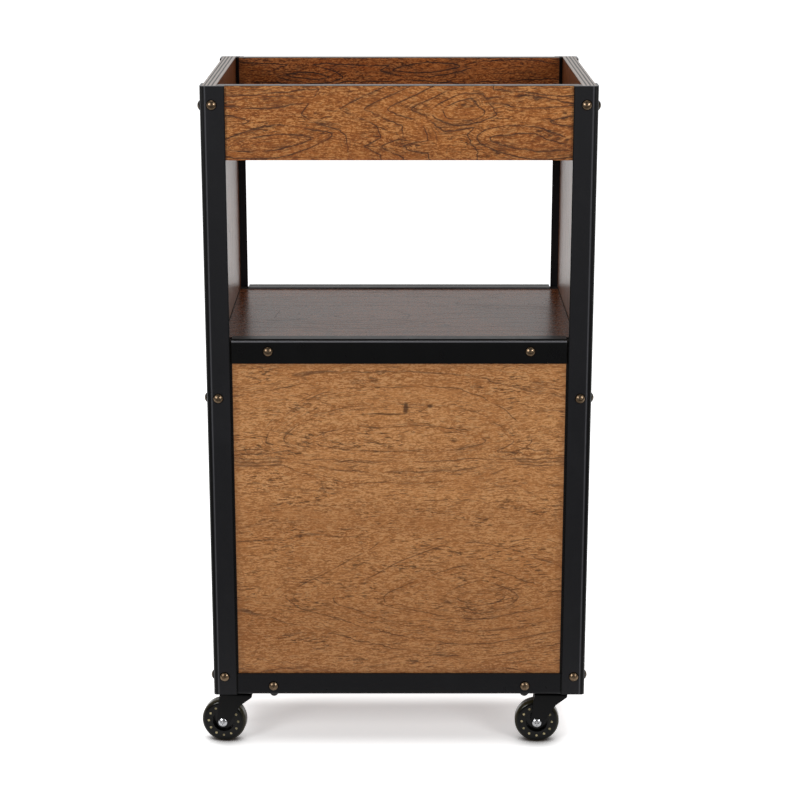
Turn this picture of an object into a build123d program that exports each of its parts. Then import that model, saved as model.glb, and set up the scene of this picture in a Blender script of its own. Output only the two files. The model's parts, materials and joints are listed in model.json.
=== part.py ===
# Serving trolley: four bent steel angle posts round two full-height wooden side panels, with a deep tray on
# top, an open serving bay, a shelf and a lower compartment that is closed at the front and open at the back.
# It stands on four swivel casters. The front faces -Y, +Z is up, and the origin is on the floor, mid-plan.
# All sizes are in millimetres.
from build123d import *

import os
from math import acos, atan2, cos, sin

# Overall sizes
WIDTH = 503.0  # over the outer faces of the posts
DEPTH = 350.0  # over the outer faces of the posts
POST_LENGTH = 824.0
CASTER_HEIGHT = 82.0  # floor to the underside of the frame

# Bent steel angle
STEEL = 3.0  # sheet thickness
BEND = 4.5  # outside radius of the bend
POST_LEG = 31.5
SHELF_RAIL_DROP = 31.0  # leg in front of the shelf's edge
SHELF_RAIL_LAP = 26.0  # leg that lies on the shelf
SHELF_RAIL_END_GAP = 2.2  # each end, to the post
BOTTOM_RAIL_RISE = 30.5  # leg in front of the bottom board's edge
BOTTOM_RAIL_LAP = 30.0  # leg under the bottom board
BOTTOM_RAIL_END_GAP = 0.3  # each end, to the post

# Wooden boards
SIDE_PANEL = 18.0  # thickness
TRAY_BOARD = 16.0  # thickness of the tray's front and back boards
TRAY_BOARD_HEIGHT = 94.5
TRAY_FLOOR = 12.0  # thickness
TRAY_FLOOR_RISE = 6.0  # tray boards' lower edge to the floor's underside
SHELF = 18.0  # thickness
SHELF_LEVEL = 493.0  # frame's underside to the shelf's top
SHELF_REBATE = 1.0  # depth of the seat for the rail's lap
CABINET_PANEL = 12.0  # thickness of the panel that closes the front of the compartment
BOTTOM_BOARD = 18.0  # thickness
BEND_ROOM = 0.3  # how far an eased edge clears the inside of a bend
TRAY_END_EASE = 4.5  # chamfer on the tray boards' upright end edges
TOP_EDGE_ROUND = 0.8  # rounding along the tray boards' top edges

# Dome-headed screws
HEAD_RADIUS = 6.8
HEAD_HEIGHT = 4.1
HEAD_RIM = 0.4  # straight edge under the dome
SHANK_RADIUS = 1.6
STEEL_HOLE_CLEARANCE = 0.2  # radial, where a screw passes through steel
PILOT_CLEARANCE = 0.05  # radial, where a screw or dowel sits in wood
SOCKET_END_ROOM = 0.5  # spare depth past the end of a screw or dowel
POST_SCREW_INSET = 15.0  # post's outer face to the screw's axis
POST_SCREW_DROP = 24.0  # post's top to the axis of the top screw
POST_SCREW_RISE = 26.0  # frame's underside to the axis of the bottom screw
POST_SCREW_MIDDLE = 417.0  # frame's underside to the axis of the middle screw
SIDE_SCREW_DROP = 2.2  # side screws sit this much lower than those in front
EDGE_SCREW_LENGTH = 25.0  # into the side panels' upright edges
SIDE_SCREW_COVER = 8.5  # wood left past the screws in the side panels' faces, clear of the edge screws
RAIL_SCREW_INSET = 81.0  # posts' outer faces to the axis of the rails' screws
RAIL_SCREW_LENGTH = 22.0
SHELF_SCREW_DROP = 14.7  # rail's top to the screw's axis
BOTTOM_SCREW_RISE = 12.7  # frame's underside to the screw's axis
CAP_SCREW_INSET = 12.0  # rail's outer face to the cap screw's axis
CAP_SCREW_COVER = 7.5  # wood left past the cap screws, which end under the rails' screws
CAP_HEAD_RADIUS = 6.0
CAP_HEAD_HEIGHT = 6.5
CAP_HEAD_RIM = 2.5

# Dowels
DOWEL_RADIUS = 4.0
THIN_DOWEL_RADIUS = 3.0
DOWEL_LENGTH = 30.0
DOWEL_DEPTH = 10.0  # into the side panel
DOWEL_MARGIN = 75.0  # board's edge to its outermost dowels
TRAY_DOWEL_RISE = 22.0  # tray board's lower edge to its lower dowel
TRAY_DOWEL_DROP = 44.0  # tray board's upper edge to its upper dowel

# Casters: places and fork
SWIVEL_INSET = 36.0  # outer faces of the posts to the swivel axis, both ways
TRAIL = 25.5  # swivel axis to wheel axle
FRONT_LEFT_HEADING = -7.0  # degrees from trailing straight towards -X
FRONT_RIGHT_HEADING = -2.5
BACK_LEFT_HEADING = 177.5
BACK_RIGHT_HEADING = 173.0
FORK_SHEET = 2.5
FORK_BEND = 4.0  # outside radius
FORK_BOSS_RADIUS = 8.5
FORK_HEEL = 15.5  # crown past the swivel axis, away from the wheel
FORK_TOE = 3.5  # crown past the axle, over the wheel
FORK_HEEL_DEPTH = 5.0
FORK_HEEL_ROUND = 3.0
FORK_KNEE_OUT = 25.0  # concave corner of the leg, measured from the axle
FORK_KNEE_UP = 26.0
FORK_KNEE_ROUND = 12.0

# Casters: wheel and axle
WHEEL_RADIUS = 30.5
WHEEL_WIDTH = 21.0
TREAD_DEPTH = 7.0  # tread over the core's rim
TYRE_SHOULDER = 6.0
TYRE_SKIN = 3.5  # tyre over each side of the rim
RIM_DEPTH = 9.0  # radial
RIM_LIP = 0.6  # how far the rim shows inside the tyre's skin
RIM_HOLE_RADIUS = 1.9
RIM_HOLE_INSET = 2.9  # rim's outer edge to the holes' axes
RIM_HOLE_COUNT = 12
CORE_WEB = 7.0
CORE_HUB_RADIUS = 8.5
CORE_HUB_PROUD = 1.0  # hub past each side of the tyre
HUB_SIDE_PLAY = 0.5  # hub to fork leg, each side
AXLE_RADIUS = 3.0
AXLE_HEAD_RADIUS = 6.0
AXLE_HEAD_HEIGHT = 3.2
AXLE_HEAD_RIM = 1.1
AXLE_TAIL = 1.5  # thread past the nut
CROSS_SLOT_WIDTH = 1.3
CROSS_SLOT_LENGTH = 6.4
CROSS_SLOT_DEPTH = 1.6
NUT_ACROSS_FLATS = 10.0
NUT_HEIGHT = 5.0
RUNNING_CLEARANCE = 0.05  # radial, axle in wheel and stem in fork

# Casters: stem and swivel bearing
CUP_TOP = 4.1  # frame's underside to the balls' track
BALL_RADIUS = 1.9
BALL_COUNT = 12
BALL_CLEARANCE = 0.05
STEM_TO_BALLS = 3.1
SKIRT_WALL = 1.5
SKIRT_CLEARANCE = 0.3  # skirt to balls, and skirt to crown
STEM_RADIUS = 4.0
STEM_COVER = 4.0  # wood left past the stem in the bottom board
STEM_HEAD_RADIUS = 7.0
STEM_HEAD_HEIGHT = 2.2
STEM_END_PLAY = 0.1  # stem's head to the crown

# Worked-out places of the frame
BASE = CASTER_HEIGHT
TOP = BASE + POST_LENGTH
OUT_X = WIDTH / 2
OUT_Y = DEPTH / 2
PANEL_OUT = OUT_X - STEEL  # side panel's outer face
PANEL_IN = PANEL_OUT - SIDE_PANEL  # side panel's inner face
BOARD_OUT = OUT_Y - STEEL  # front and back edges of the boards
TRAY_BASE = TOP - TRAY_BOARD_HEIGHT
TRAY_IN = BOARD_OUT - TRAY_BOARD
FLOOR_BASE = TRAY_BASE + TRAY_FLOOR_RISE
SHELF_TOP = BASE + SHELF_LEVEL
SHELF_BASE = SHELF_TOP - SHELF
SHELF_RAIL_TOP = SHELF_TOP - SHELF_REBATE + STEEL
BOTTOM_TOP = BASE + BOTTOM_BOARD
EASED_EDGE = BEND - STEEL + BEND_ROOM
RAIL_SCREW_X = OUT_X - RAIL_SCREW_INSET
SIDE_SCREW_LENGTH = STEEL + SIDE_PANEL - SIDE_SCREW_COVER
CAP_SCREW_LENGTH = BOTTOM_BOARD - CAP_SCREW_COVER
STEM_END = BOTTOM_TOP - STEM_COVER

# Worked-out places of the casters
BALL_CIRCLE = STEM_RADIUS + STEM_TO_BALLS + BALL_RADIUS
SKIRT_IN = BALL_CIRCLE + BALL_RADIUS + SKIRT_CLEARANCE
BALL_TRACK = BASE - CUP_TOP
CROWN_TOP = BALL_TRACK - 2 * BALL_RADIUS - 2 * BALL_CLEARANCE
CROWN_UNDER = CROWN_TOP - FORK_SHEET
AXLE_LEVEL = WHEEL_RADIUS
CORE_RIM_RADIUS = WHEEL_RADIUS - TREAD_DEPTH
RIM_IN = CORE_RIM_RADIUS - RIM_DEPTH
HUB_HALF = WHEEL_WIDTH / 2 + CORE_HUB_PROUD
FORK_IN = HUB_HALF + HUB_SIDE_PLAY  # inner faces of the legs
FORK_OUT = FORK_IN + FORK_SHEET  # outer faces of the legs

SIDES = {"left": -1, "right": 1}
ENDS = {"front": -1, "back": 1}
HEADINGS = {
    "front_left": FRONT_LEFT_HEADING,
    "front_right": FRONT_RIGHT_HEADING,
    "back_left": BACK_LEFT_HEADING,
    "back_right": BACK_RIGHT_HEADING,
}
ON_BASE = (Align.CENTER, Align.CENTER, Align.MIN)


# Basic shapes
def block(x0, x1, y0, y1, z0, z1):
    """Box between two corners."""
    middle = Pos((x0 + x1) / 2, (y0 + y1) / 2, (z0 + z1) / 2)
    return middle * Box(abs(x1 - x0), abs(y1 - y0), abs(z1 - z0))


def rod(point, direction, radius, start, end):
    """Cylinder on an axis, from start to end along the direction."""
    place = Plane(origin=point, z_dir=direction).location
    return place * Pos(0, 0, start) * Cylinder(radius, end - start, align=ON_BASE)


def spun(points):
    """Solid of revolution about Z, from straight outline points (radius, height)."""
    outline = Polyline(*[(r, 0, z) for r, z in points], close=True)
    return revolve(make_face(outline), Axis.Z)


def dome_arc(top, rim):
    """Arc of a round dome, from (0, top) on the axis up and out to its rim (radius, height)."""
    radius, level = rim
    height = level - top
    sphere = (radius**2 + height**2) / (2 * height)
    lean = atan2(height, radius)
    middle = (sphere * sin(lean), 0, top + sphere * (1 - cos(lean)))
    return ThreePointArc((0, 0, top), middle, (radius, 0, level))


def headed_pin(shank_radius, shank_length, head_radius, head_height, head_rim):
    """Pin along +Z with a domed head below the origin; head_rim is the straight edge under the dome."""
    rim = (head_radius, -head_rim)
    straight = [
        rim,
        (head_radius, 0),
        (shank_radius, 0),
        (shank_radius, shank_length),
        (0, shank_length),
        (0, -head_height),
    ]
    outline = make_face([dome_arc(-head_height, rim), Polyline(*[(r, 0, z) for r, z in straight])])
    return revolve(outline, Axis.Z)


def edges_at(solid, axis, **place):
    """Edges parallel to an axis whose middle has the given coordinates."""
    def matches(edge):
        middle = edge.center()
        return all(abs(getattr(middle, name) - value) < 1e-4 for name, value in place.items())

    return solid.edges().filter_by(axis).filter_by(matches)


def group(solids):
    """Separate solids that share one node."""
    return Compound(children=list(solids))


# Steel angles
def angle_bar(plane, leg_u, leg_v, length):
    """Bent angle with its corner on the plane's origin, legs along its axes, run along its normal."""
    corners = [(0, 0), (leg_u, 0), (leg_u, STEEL), (STEEL, STEEL), (STEEL, leg_v), (0, leg_v)]
    section = make_face(Polyline(*corners, close=True))
    section = fillet(section.vertices().sort_by_distance((0, 0, 0))[0], BEND)
    section = fillet(section.vertices().sort_by_distance((STEEL, STEEL, 0))[0], BEND - STEEL)
    return extrude(plane * section, length)


def post(side, end):
    """Corner post, its legs turned inwards."""
    origin = (side * OUT_X, end * OUT_Y, BASE)
    inwards_x = (-side, 0, 0)
    inwards_y = (0, -end, 0)
    first_leg = inwards_x if side * end > 0 else inwards_y
    return angle_bar(Plane(origin=origin, x_dir=first_leg, z_dir=(0, 0, 1)), POST_LEG, POST_LEG, POST_LENGTH)


def rail(end, reach, level, front, back):
    """Angle along X at the front or back; front and back give (first leg's direction, both lengths)."""
    first_leg, lengths = front if end < 0 else back
    place = Plane(origin=(-reach, end * OUT_Y, level), x_dir=first_leg, z_dir=(1, 0, 0))
    return angle_bar(place, *lengths, 2 * reach)


def shelf_rail(end):
    """Angle over the shelf's edge: one leg on the shelf, one leg down its edge."""
    reach = OUT_X - POST_LEG - SHELF_RAIL_END_GAP
    front = ((0, 0, -1), (SHELF_RAIL_DROP, SHELF_RAIL_LAP))
    back = ((0, -1, 0), (SHELF_RAIL_LAP, SHELF_RAIL_DROP))
    return rail(end, reach, SHELF_RAIL_TOP, front, back)


def bottom_rail(end):
    """Angle under the bottom board's edge: one leg under the board, one leg up its edge."""
    reach = OUT_X - POST_LEG - BOTTOM_RAIL_END_GAP
    front = ((0, 1, 0), (BOTTOM_RAIL_LAP, BOTTOM_RAIL_RISE))
    back = ((0, 0, 1), (BOTTOM_RAIL_RISE, BOTTOM_RAIL_LAP))
    return rail(end, reach, BASE, front, back)


# Screws
def dome_screw(point, direction, length):
    """Round-headed screw: the head's flat is on the point, the shank runs along the direction."""
    screw = headed_pin(SHANK_RADIUS, length, HEAD_RADIUS, HEAD_HEIGHT, HEAD_RIM)
    return Plane(origin=point, z_dir=direction).location * screw


def cap_screw(point, direction):
    """Screw with a tall domed cap, which shows under a bottom rail."""
    screw = headed_pin(SHANK_RADIUS, CAP_SCREW_LENGTH, CAP_HEAD_RADIUS, CAP_HEAD_HEIGHT, CAP_HEAD_RIM)
    return Plane(origin=point, z_dir=direction).location * screw


def steel_hole(point, direction):
    """Cutter for a screw's hole through one thickness of steel."""
    return rod(point, direction, SHANK_RADIUS + STEEL_HOLE_CLEARANCE, -STEEL, 2 * STEEL)


def pilot(point, direction, length):
    """Cutter for a screw's pilot hole in wood."""
    return rod(point, direction, SHANK_RADIUS + PILOT_CLEARANCE, -SOCKET_END_ROOM, length + SOCKET_END_ROOM)


def post_screw_levels():
    """Heights of the screws on the front and back legs of the posts."""
    return (BASE + POST_SCREW_RISE, BASE + POST_SCREW_MIDDLE, TOP - POST_SCREW_DROP)


def end_screw_places(end):
    """Heads of the screws on the front or back legs of the posts, as (point, direction) pairs."""
    xs = (-OUT_X + POST_SCREW_INSET, OUT_X - POST_SCREW_INSET)
    return [((x, end * OUT_Y, z), (0, -end, 0)) for x in xs for z in post_screw_levels()]


def side_screw_places(side):
    """Heads of the screws on the side legs of the posts, a little lower than those in front."""
    ys = (-OUT_Y + POST_SCREW_INSET, OUT_Y - POST_SCREW_INSET)
    levels = [z - SIDE_SCREW_DROP for z in post_screw_levels()]
    return [((side * OUT_X, y, z), (-side, 0, 0)) for y in ys for z in levels]


def shelf_screw_places(end):
    """Heads of the screws on a shelf rail."""
    level = SHELF_RAIL_TOP - SHELF_SCREW_DROP
    return [((x, end * OUT_Y, level), (0, -end, 0)) for x in (-RAIL_SCREW_X, RAIL_SCREW_X)]


def bottom_screw_places(end):
    """Heads of the screws on a bottom rail's upright leg."""
    level = BASE + BOTTOM_SCREW_RISE
    return [((x, end * OUT_Y, level), (0, -end, 0)) for x in (-RAIL_SCREW_X, RAIL_SCREW_X)]


def cap_screw_places(end):
    """Heads of the cap screws under a bottom rail."""
    y = end * (OUT_Y - CAP_SCREW_INSET)
    return [((x, y, BASE), (0, 0, 1)) for x in (-RAIL_SCREW_X, RAIL_SCREW_X)]


# Dowels
def dowel(side, y, z, radius, room=0.0, end_room=0.0):
    """Dowel across the joint between a board and a side panel, or with room the cutter for its holes."""
    inner = side * (PANEL_IN + DOWEL_DEPTH - DOWEL_LENGTH)
    return rod((inner, y, z), (side, 0, 0), radius + room, -end_room, DOWEL_LENGTH + end_room)


def socket(place):
    """Cutter for a dowel's two blind holes."""
    return dowel(*place, PILOT_CLEARANCE, SOCKET_END_ROOM)


def dowel_places():
    """Every dowel, grouped by the board that it carries, as (side, y, z, radius)."""
    tray_y = TRAY_IN + TRAY_BOARD / 2
    tray_levels = (TRAY_BASE + TRAY_DOWEL_RISE, TOP - TRAY_DOWEL_DROP)
    floor_z = FLOOR_BASE + TRAY_FLOOR / 2
    floor_y = TRAY_IN - DOWEL_MARGIN
    board_ys = (DOWEL_MARGIN - BOARD_OUT, 0, BOARD_OUT - DOWEL_MARGIN)
    shelf_z = SHELF_TOP - SHELF / 2
    bottom_z = BASE + (BOTTOM_BOARD + STEEL) / 2
    cabinet_y = -BOARD_OUT + CABINET_PANEL / 2
    cabinet_levels = (BOTTOM_TOP + DOWEL_MARGIN, (BOTTOM_TOP + SHELF_BASE) / 2, SHELF_BASE - DOWEL_MARGIN)
    rows = {
        "tray_front_board": [(-tray_y, z, DOWEL_RADIUS) for z in tray_levels],
        "tray_back_board": [(tray_y, z, DOWEL_RADIUS) for z in tray_levels],
        "tray_floor": [(y, floor_z, THIN_DOWEL_RADIUS) for y in (-floor_y, floor_y)],
        "shelf_board": [(y, shelf_z, DOWEL_RADIUS) for y in board_ys],
        "bottom_board": [(y, bottom_z, DOWEL_RADIUS) for y in board_ys],
        "cabinet_front_panel": [(cabinet_y, z, THIN_DOWEL_RADIUS) for z in cabinet_levels],
    }
    return {name: [(side, *row) for row in found for side in SIDES.values()] for name, found in rows.items()}


# Boards
def side_panel(side):
    """Full-height side panel between the front and back posts, its outer upright edges eased."""
    panel = block(side * PANEL_IN, side * PANEL_OUT, -BOARD_OUT, BOARD_OUT, BASE, TOP)
    front = edges_at(panel, Axis.Z, X=side * PANEL_OUT, Y=-BOARD_OUT)
    back = edges_at(panel, Axis.Z, X=side * PANEL_OUT, Y=BOARD_OUT)
    return chamfer(front + back, EASED_EDGE)


def tray_board(end):
    """Front or back board of the tray, eased at its ends and rounded along its top."""
    board = block(-PANEL_IN, PANEL_IN, end * TRAY_IN, end * BOARD_OUT, TRAY_BASE, TOP)
    left = edges_at(board, Axis.Z, X=-PANEL_IN, Y=end * TRAY_IN)
    right = edges_at(board, Axis.Z, X=PANEL_IN, Y=end * TRAY_IN)
    board = chamfer(left + right, TRAY_END_EASE)
    return fillet(board.edges().filter_by(Axis.X).group_by(Axis.Z)[-1], TOP_EDGE_ROUND)


def tray_floor():
    """Floor of the tray, between the tray boards and the side panels."""
    return block(-PANEL_IN, PANEL_IN, -TRAY_IN, TRAY_IN, FLOOR_BASE, FLOOR_BASE + TRAY_FLOOR)


def seated_board(base, top, seat_in, seat_z, far):
    """Board with a seat for a rail's leg along its front and back edges, from seat_z to far."""
    board = block(-PANEL_IN, PANEL_IN, -BOARD_OUT, BOARD_OUT, base, top)
    for end in ENDS.values():
        board -= block(-OUT_X, OUT_X, end * seat_in, end * OUT_Y, seat_z, far)
    front = edges_at(board, Axis.X, Y=-BOARD_OUT, Z=seat_z)
    back = edges_at(board, Axis.X, Y=BOARD_OUT, Z=seat_z)
    return chamfer(front + back, EASED_EDGE)


def shelf_board():
    """Shelf with shallow seats on top for the rails' laps."""
    return seated_board(SHELF_BASE, SHELF_TOP, OUT_Y - SHELF_RAIL_LAP, SHELF_TOP - SHELF_REBATE, TOP)


def bottom_board():
    """Bottom board with its underside seated over the bottom rails, so that the underside is flush."""
    return seated_board(BASE, BOTTOM_TOP, OUT_Y - BOTTOM_RAIL_LAP, BASE + STEEL, 0)


def cabinet_front_panel():
    """Fixed panel that closes the front of the lower compartment, from the bottom board to the shelf."""
    return block(-PANEL_IN, PANEL_IN, -BOARD_OUT, CABINET_PANEL - BOARD_OUT, BOTTOM_TOP, SHELF_BASE)


# Casters, built with the swivel axis on Z and the wheel trailing towards -X
def swivel_axis(name):
    """Plan position of a caster's swivel axis."""
    end, side = name.split("_")
    return SIDES[side] * (OUT_X - SWIVEL_INSET), ENDS[end] * (OUT_Y - SWIVEL_INSET)


def axle_line():
    """Place on the wheel's axle, with local Z along the axle towards +Y."""
    return Plane(origin=(-TRAIL, 0, AXLE_LEVEL), x_dir=(1, 0, 0), z_dir=(0, 1, 0)).location


def stem_hole(name):
    """Cutter for a caster stem's hole in the bottom board."""
    radius = STEM_RADIUS + PILOT_CLEARANCE
    return rod((*swivel_axis(name), 0), (0, 0, 1), radius, CROWN_TOP, STEM_END + SOCKET_END_ROOM)


def caster_cup():
    """Round cup under the frame, with the upper ball race and a skirt that covers the balls."""
    bore = STEM_RADIUS + PILOT_CLEARANCE
    skirt_out = SKIRT_IN + SKIRT_WALL
    skirt_foot = CROWN_TOP + SKIRT_CLEARANCE
    return spun([
        (bore, BASE),
        (skirt_out, BASE),
        (skirt_out, skirt_foot),
        (SKIRT_IN, skirt_foot),
        (SKIRT_IN, BALL_TRACK),
        (bore, BALL_TRACK),
    ])


def caster_stem():
    """Stem that is screwed into the bottom board; its head holds the fork up and lets it turn."""
    head_top = CROWN_UNDER - STEM_END_PLAY
    head_foot = head_top - STEM_HEAD_HEIGHT
    return spun([
        (0, head_foot),
        (STEM_HEAD_RADIUS, head_foot),
        (STEM_HEAD_RADIUS, head_top),
        (STEM_RADIUS, head_top),
        (STEM_RADIUS, STEM_END),
        (0, STEM_END),
    ])


def swivel_balls():
    """Ring of bearing balls between the crown and the cup."""
    ball = Pos(BALL_CIRCLE, 0, CROWN_TOP + BALL_CLEARANCE + BALL_RADIUS) * Sphere(BALL_RADIUS)
    return group(Rot(0, 0, i * 360 / BALL_COUNT) * ball for i in range(BALL_COUNT))


def tangent_point(x, z, turn):
    """Point where a line from (x, z) touches the boss round the axle, on the side that turn picks."""
    angle = atan2(z - AXLE_LEVEL, x + TRAIL)
    reach = ((x + TRAIL) ** 2 + (z - AXLE_LEVEL) ** 2) ** 0.5
    angle += turn * acos(FORK_BOSS_RADIUS / reach)
    return -TRAIL + FORK_BOSS_RADIUS * cos(angle), AXLE_LEVEL + FORK_BOSS_RADIUS * sin(angle)


def fork_outline():
    """Side outline of the fork, as a face in the XZ plane."""
    toe = (-TRAIL - FORK_TOE, CROWN_TOP)
    heel = (FORK_HEEL, CROWN_TOP)
    heel_foot = (FORK_HEEL, CROWN_TOP - FORK_HEEL_DEPTH)
    knee = (-TRAIL + FORK_KNEE_OUT, AXLE_LEVEL + FORK_KNEE_UP)
    boss_heel = tangent_point(*knee, -1)
    boss_toe = tangent_point(*toe, 1)
    boss_foot = (-TRAIL, AXLE_LEVEL - FORK_BOSS_RADIUS)
    lines = Polyline(*[(x, 0, z) for x, z in (boss_toe, toe, heel, heel_foot, knee, boss_heel)])
    arc = ThreePointArc(*[(x, 0, z) for x, z in (boss_heel, boss_foot, boss_toe)])
    outline = make_face([lines, arc])
    outline = fillet(outline.vertices().sort_by_distance((knee[0], 0, knee[1]))[0], FORK_KNEE_ROUND)
    return fillet(outline.vertices().sort_by_distance((heel_foot[0], 0, heel_foot[1]))[0], FORK_HEEL_ROUND)


def fork():
    """Bent sheet fork: a crown under the balls and two legs that carry the axle."""
    foot = AXLE_LEVEL - 2 * FORK_BOSS_RADIUS
    back = -TRAIL - FORK_TOE - FORK_BOSS_RADIUS
    front = FORK_HEEL + FORK_BOSS_RADIUS
    outer = block(back, front, -FORK_OUT, FORK_OUT, foot, CROWN_TOP)
    outer = fillet(outer.edges().filter_by(Axis.X).group_by(Axis.Z)[-1], FORK_BEND)
    inner = block(back, front, -FORK_IN, FORK_IN, foot, CROWN_UNDER)
    inner = fillet(inner.edges().filter_by(Axis.X).group_by(Axis.Z)[-1], FORK_BEND - FORK_SHEET)
    stem_bore = Cylinder(STEM_RADIUS + RUNNING_CLEARANCE, 4 * FORK_SHEET)
    axle_hole = Cylinder(AXLE_RADIUS + RUNNING_CLEARANCE, 4 * FORK_OUT)
    body = (outer - inner) & extrude(fork_outline(), 2 * FORK_OUT, both=True)
    return body - Pos(0, 0, CROWN_TOP) * stem_bore - axle_line() * axle_hole


def axle():
    """Axle bolt with a cross-slotted pan head, through the fork and the wheel."""
    length = 2 * FORK_OUT + NUT_HEIGHT + AXLE_TAIL
    bolt = headed_pin(AXLE_RADIUS, length, AXLE_HEAD_RADIUS, AXLE_HEAD_HEIGHT, AXLE_HEAD_RIM)
    slot = Pos(0, 0, -AXLE_HEAD_HEIGHT) * Box(CROSS_SLOT_LENGTH, CROSS_SLOT_WIDTH, 2 * CROSS_SLOT_DEPTH)
    return axle_line() * Pos(0, 0, -FORK_OUT) * (bolt - [slot, Rot(0, 0, 90) * slot])


def axle_nut():
    """Hexagon nut on the axle's end."""
    hexagon = RegularPolygon(NUT_ACROSS_FLATS / 2, 6, major_radius=False)
    nut = extrude(hexagon, NUT_HEIGHT) - Cylinder(AXLE_RADIUS + RUNNING_CLEARANCE, 4 * NUT_HEIGHT)
    return axle_line() * Pos(0, 0, FORK_OUT) * nut


def wheel_core_about_z():
    """Wheel core on the Z axis: hub, web and a rim with a ring of keying holes."""
    web = CORE_WEB / 2
    rim = WHEEL_WIDTH / 2 - TYRE_SKIN
    half = [
        (AXLE_RADIUS + RUNNING_CLEARANCE, HUB_HALF),
        (CORE_HUB_RADIUS, HUB_HALF),
        (CORE_HUB_RADIUS, web),
        (RIM_IN, web),
        (RIM_IN, rim),
        (CORE_RIM_RADIUS, rim),
    ]
    core = spun(half + [(r, -z) for r, z in reversed(half)])
    hole = Pos(CORE_RIM_RADIUS - RIM_HOLE_INSET, 0, 0) * Cylinder(RIM_HOLE_RADIUS, 2 * WHEEL_WIDTH)
    return core - [Rot(0, 0, i * 360 / RIM_HOLE_COUNT) * hole for i in range(RIM_HOLE_COUNT)]


def wheel_core():
    """Wheel core on its axle."""
    return axle_line() * wheel_core_about_z()


def tyre():
    """Tyre moulded over the core's rim and through its keying holes."""
    half = WHEEL_WIDTH / 2
    skin_in = RIM_IN + RIM_LIP
    ring = spun([(skin_in, -half), (WHEEL_RADIUS, -half), (WHEEL_RADIUS, half), (skin_in, half)])
    shoulders = ring.edges().filter_by(GeomType.CIRCLE).sort_by(lambda edge: edge.radius)[-2:]
    return axle_line() * (fillet(shoulders, TYRE_SHOULDER) - wheel_core_about_z())


def caster_nodes(name):
    """All pieces of one caster, turned to its heading and moved to its corner."""
    fixed = Pos(*swivel_axis(name), 0)
    turned = fixed * Rot(0, 0, HEADINGS[name])
    return {
        f"{name}_caster_cup": fixed * caster_cup(),
        f"{name}_caster_stem": fixed * caster_stem(),
        f"{name}_swivel_balls": turned * swivel_balls(),
        f"{name}_fork": turned * fork(),
        f"{name}_axle": turned * axle(),
        f"{name}_axle_nut": turned * axle_nut(),
        f"{name}_wheel_core": turned * wheel_core(),
        f"{name}_tyre": turned * tyre(),
    }


# Whole trolley
def frame_nodes():
    """Posts and rails, drilled for their screws."""
    nodes = {}
    for end, y_sign in ENDS.items():
        for side, x_sign in SIDES.items():
            places = [p for p in end_screw_places(y_sign) if p[0][0] * x_sign > 0]
            places += [p for p in side_screw_places(x_sign) if p[0][1] * y_sign > 0]
            nodes[f"{end}_{side}_post"] = post(x_sign, y_sign) - [steel_hole(*p) for p in places]
        shelf_holes = [steel_hole(*p) for p in shelf_screw_places(y_sign)]
        nodes[f"{end}_shelf_rail"] = shelf_rail(y_sign) - shelf_holes
        bottom_holes = [steel_hole(*p) for p in bottom_screw_places(y_sign) + cap_screw_places(y_sign)]
        nodes[f"{end}_bottom_rail"] = bottom_rail(y_sign) - bottom_holes
    return nodes


def board_nodes():
    """Boards and panels, drilled for their screws and dowels."""
    ends = ENDS.values()
    dowels = dowel_places()
    sockets = {name: [socket(place) for place in found] for name, found in dowels.items()}
    stem_holes = [stem_hole(name) for name in HEADINGS]
    shelf_pilots = [pilot(*p, RAIL_SCREW_LENGTH) for end in ends for p in shelf_screw_places(end)]
    rail_pilots = [pilot(*p, RAIL_SCREW_LENGTH) for end in ends for p in bottom_screw_places(end)]
    cap_pilots = [pilot(*p, CAP_SCREW_LENGTH) for end in ends for p in cap_screw_places(end)]
    nodes = {
        "tray_front_board": tray_board(-1) - sockets["tray_front_board"],
        "tray_back_board": tray_board(1) - sockets["tray_back_board"],
        "tray_floor": tray_floor() - sockets["tray_floor"],
        "shelf_board": shelf_board() - sockets["shelf_board"] - shelf_pilots,
        "cabinet_front_panel": cabinet_front_panel() - sockets["cabinet_front_panel"],
        "bottom_board": bottom_board() - sockets["bottom_board"] - rail_pilots - cap_pilots - stem_holes,
    }
    for side, sign in SIDES.items():
        edge_places = [p for end in ends for p in end_screw_places(end) if p[0][0] * sign > 0]
        cuts = [pilot(*p, EDGE_SCREW_LENGTH) for p in edge_places]
        cuts += [pilot(*p, SIDE_SCREW_LENGTH) for p in side_screw_places(sign)]
        cuts += [socket(place) for found in dowels.values() for place in found if place[0] == sign]
        nodes[f"{side}_side_panel"] = side_panel(sign) - cuts
    return nodes


def fastener_nodes():
    """Screws and dowels in groups."""
    nodes = {}
    ends = ENDS.values()
    for end, sign in ENDS.items():
        places = end_screw_places(sign)
        nodes[f"{end}_post_screws"] = group(dome_screw(*p, EDGE_SCREW_LENGTH) for p in places)
    for side, sign in SIDES.items():
        places = side_screw_places(sign)
        nodes[f"{side}_post_screws"] = group(dome_screw(*p, SIDE_SCREW_LENGTH) for p in places)
    shelf_places = [p for end in ends for p in shelf_screw_places(end)]
    bottom_places = [p for end in ends for p in bottom_screw_places(end)]
    cap_places = [p for end in ends for p in cap_screw_places(end)]
    nodes["shelf_rail_screws"] = group(dome_screw(*p, RAIL_SCREW_LENGTH) for p in shelf_places)
    nodes["bottom_rail_screws"] = group(dome_screw(*p, RAIL_SCREW_LENGTH) for p in bottom_places)
    nodes["bottom_cap_screws"] = group(cap_screw(*p) for p in cap_places)
    nodes["joint_dowels"] = group(dowel(*place) for found in dowel_places().values() for place in found)
    return nodes


def main():
    """Write every node of the trolley."""
    nodes = frame_nodes() | board_nodes() | fastener_nodes()
    for name in HEADINGS:
        nodes |= caster_nodes(name)
    os.makedirs("parts", exist_ok=True)
    for name, shape in nodes.items():
        export_step(shape, f"parts/{name}.step")


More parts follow.
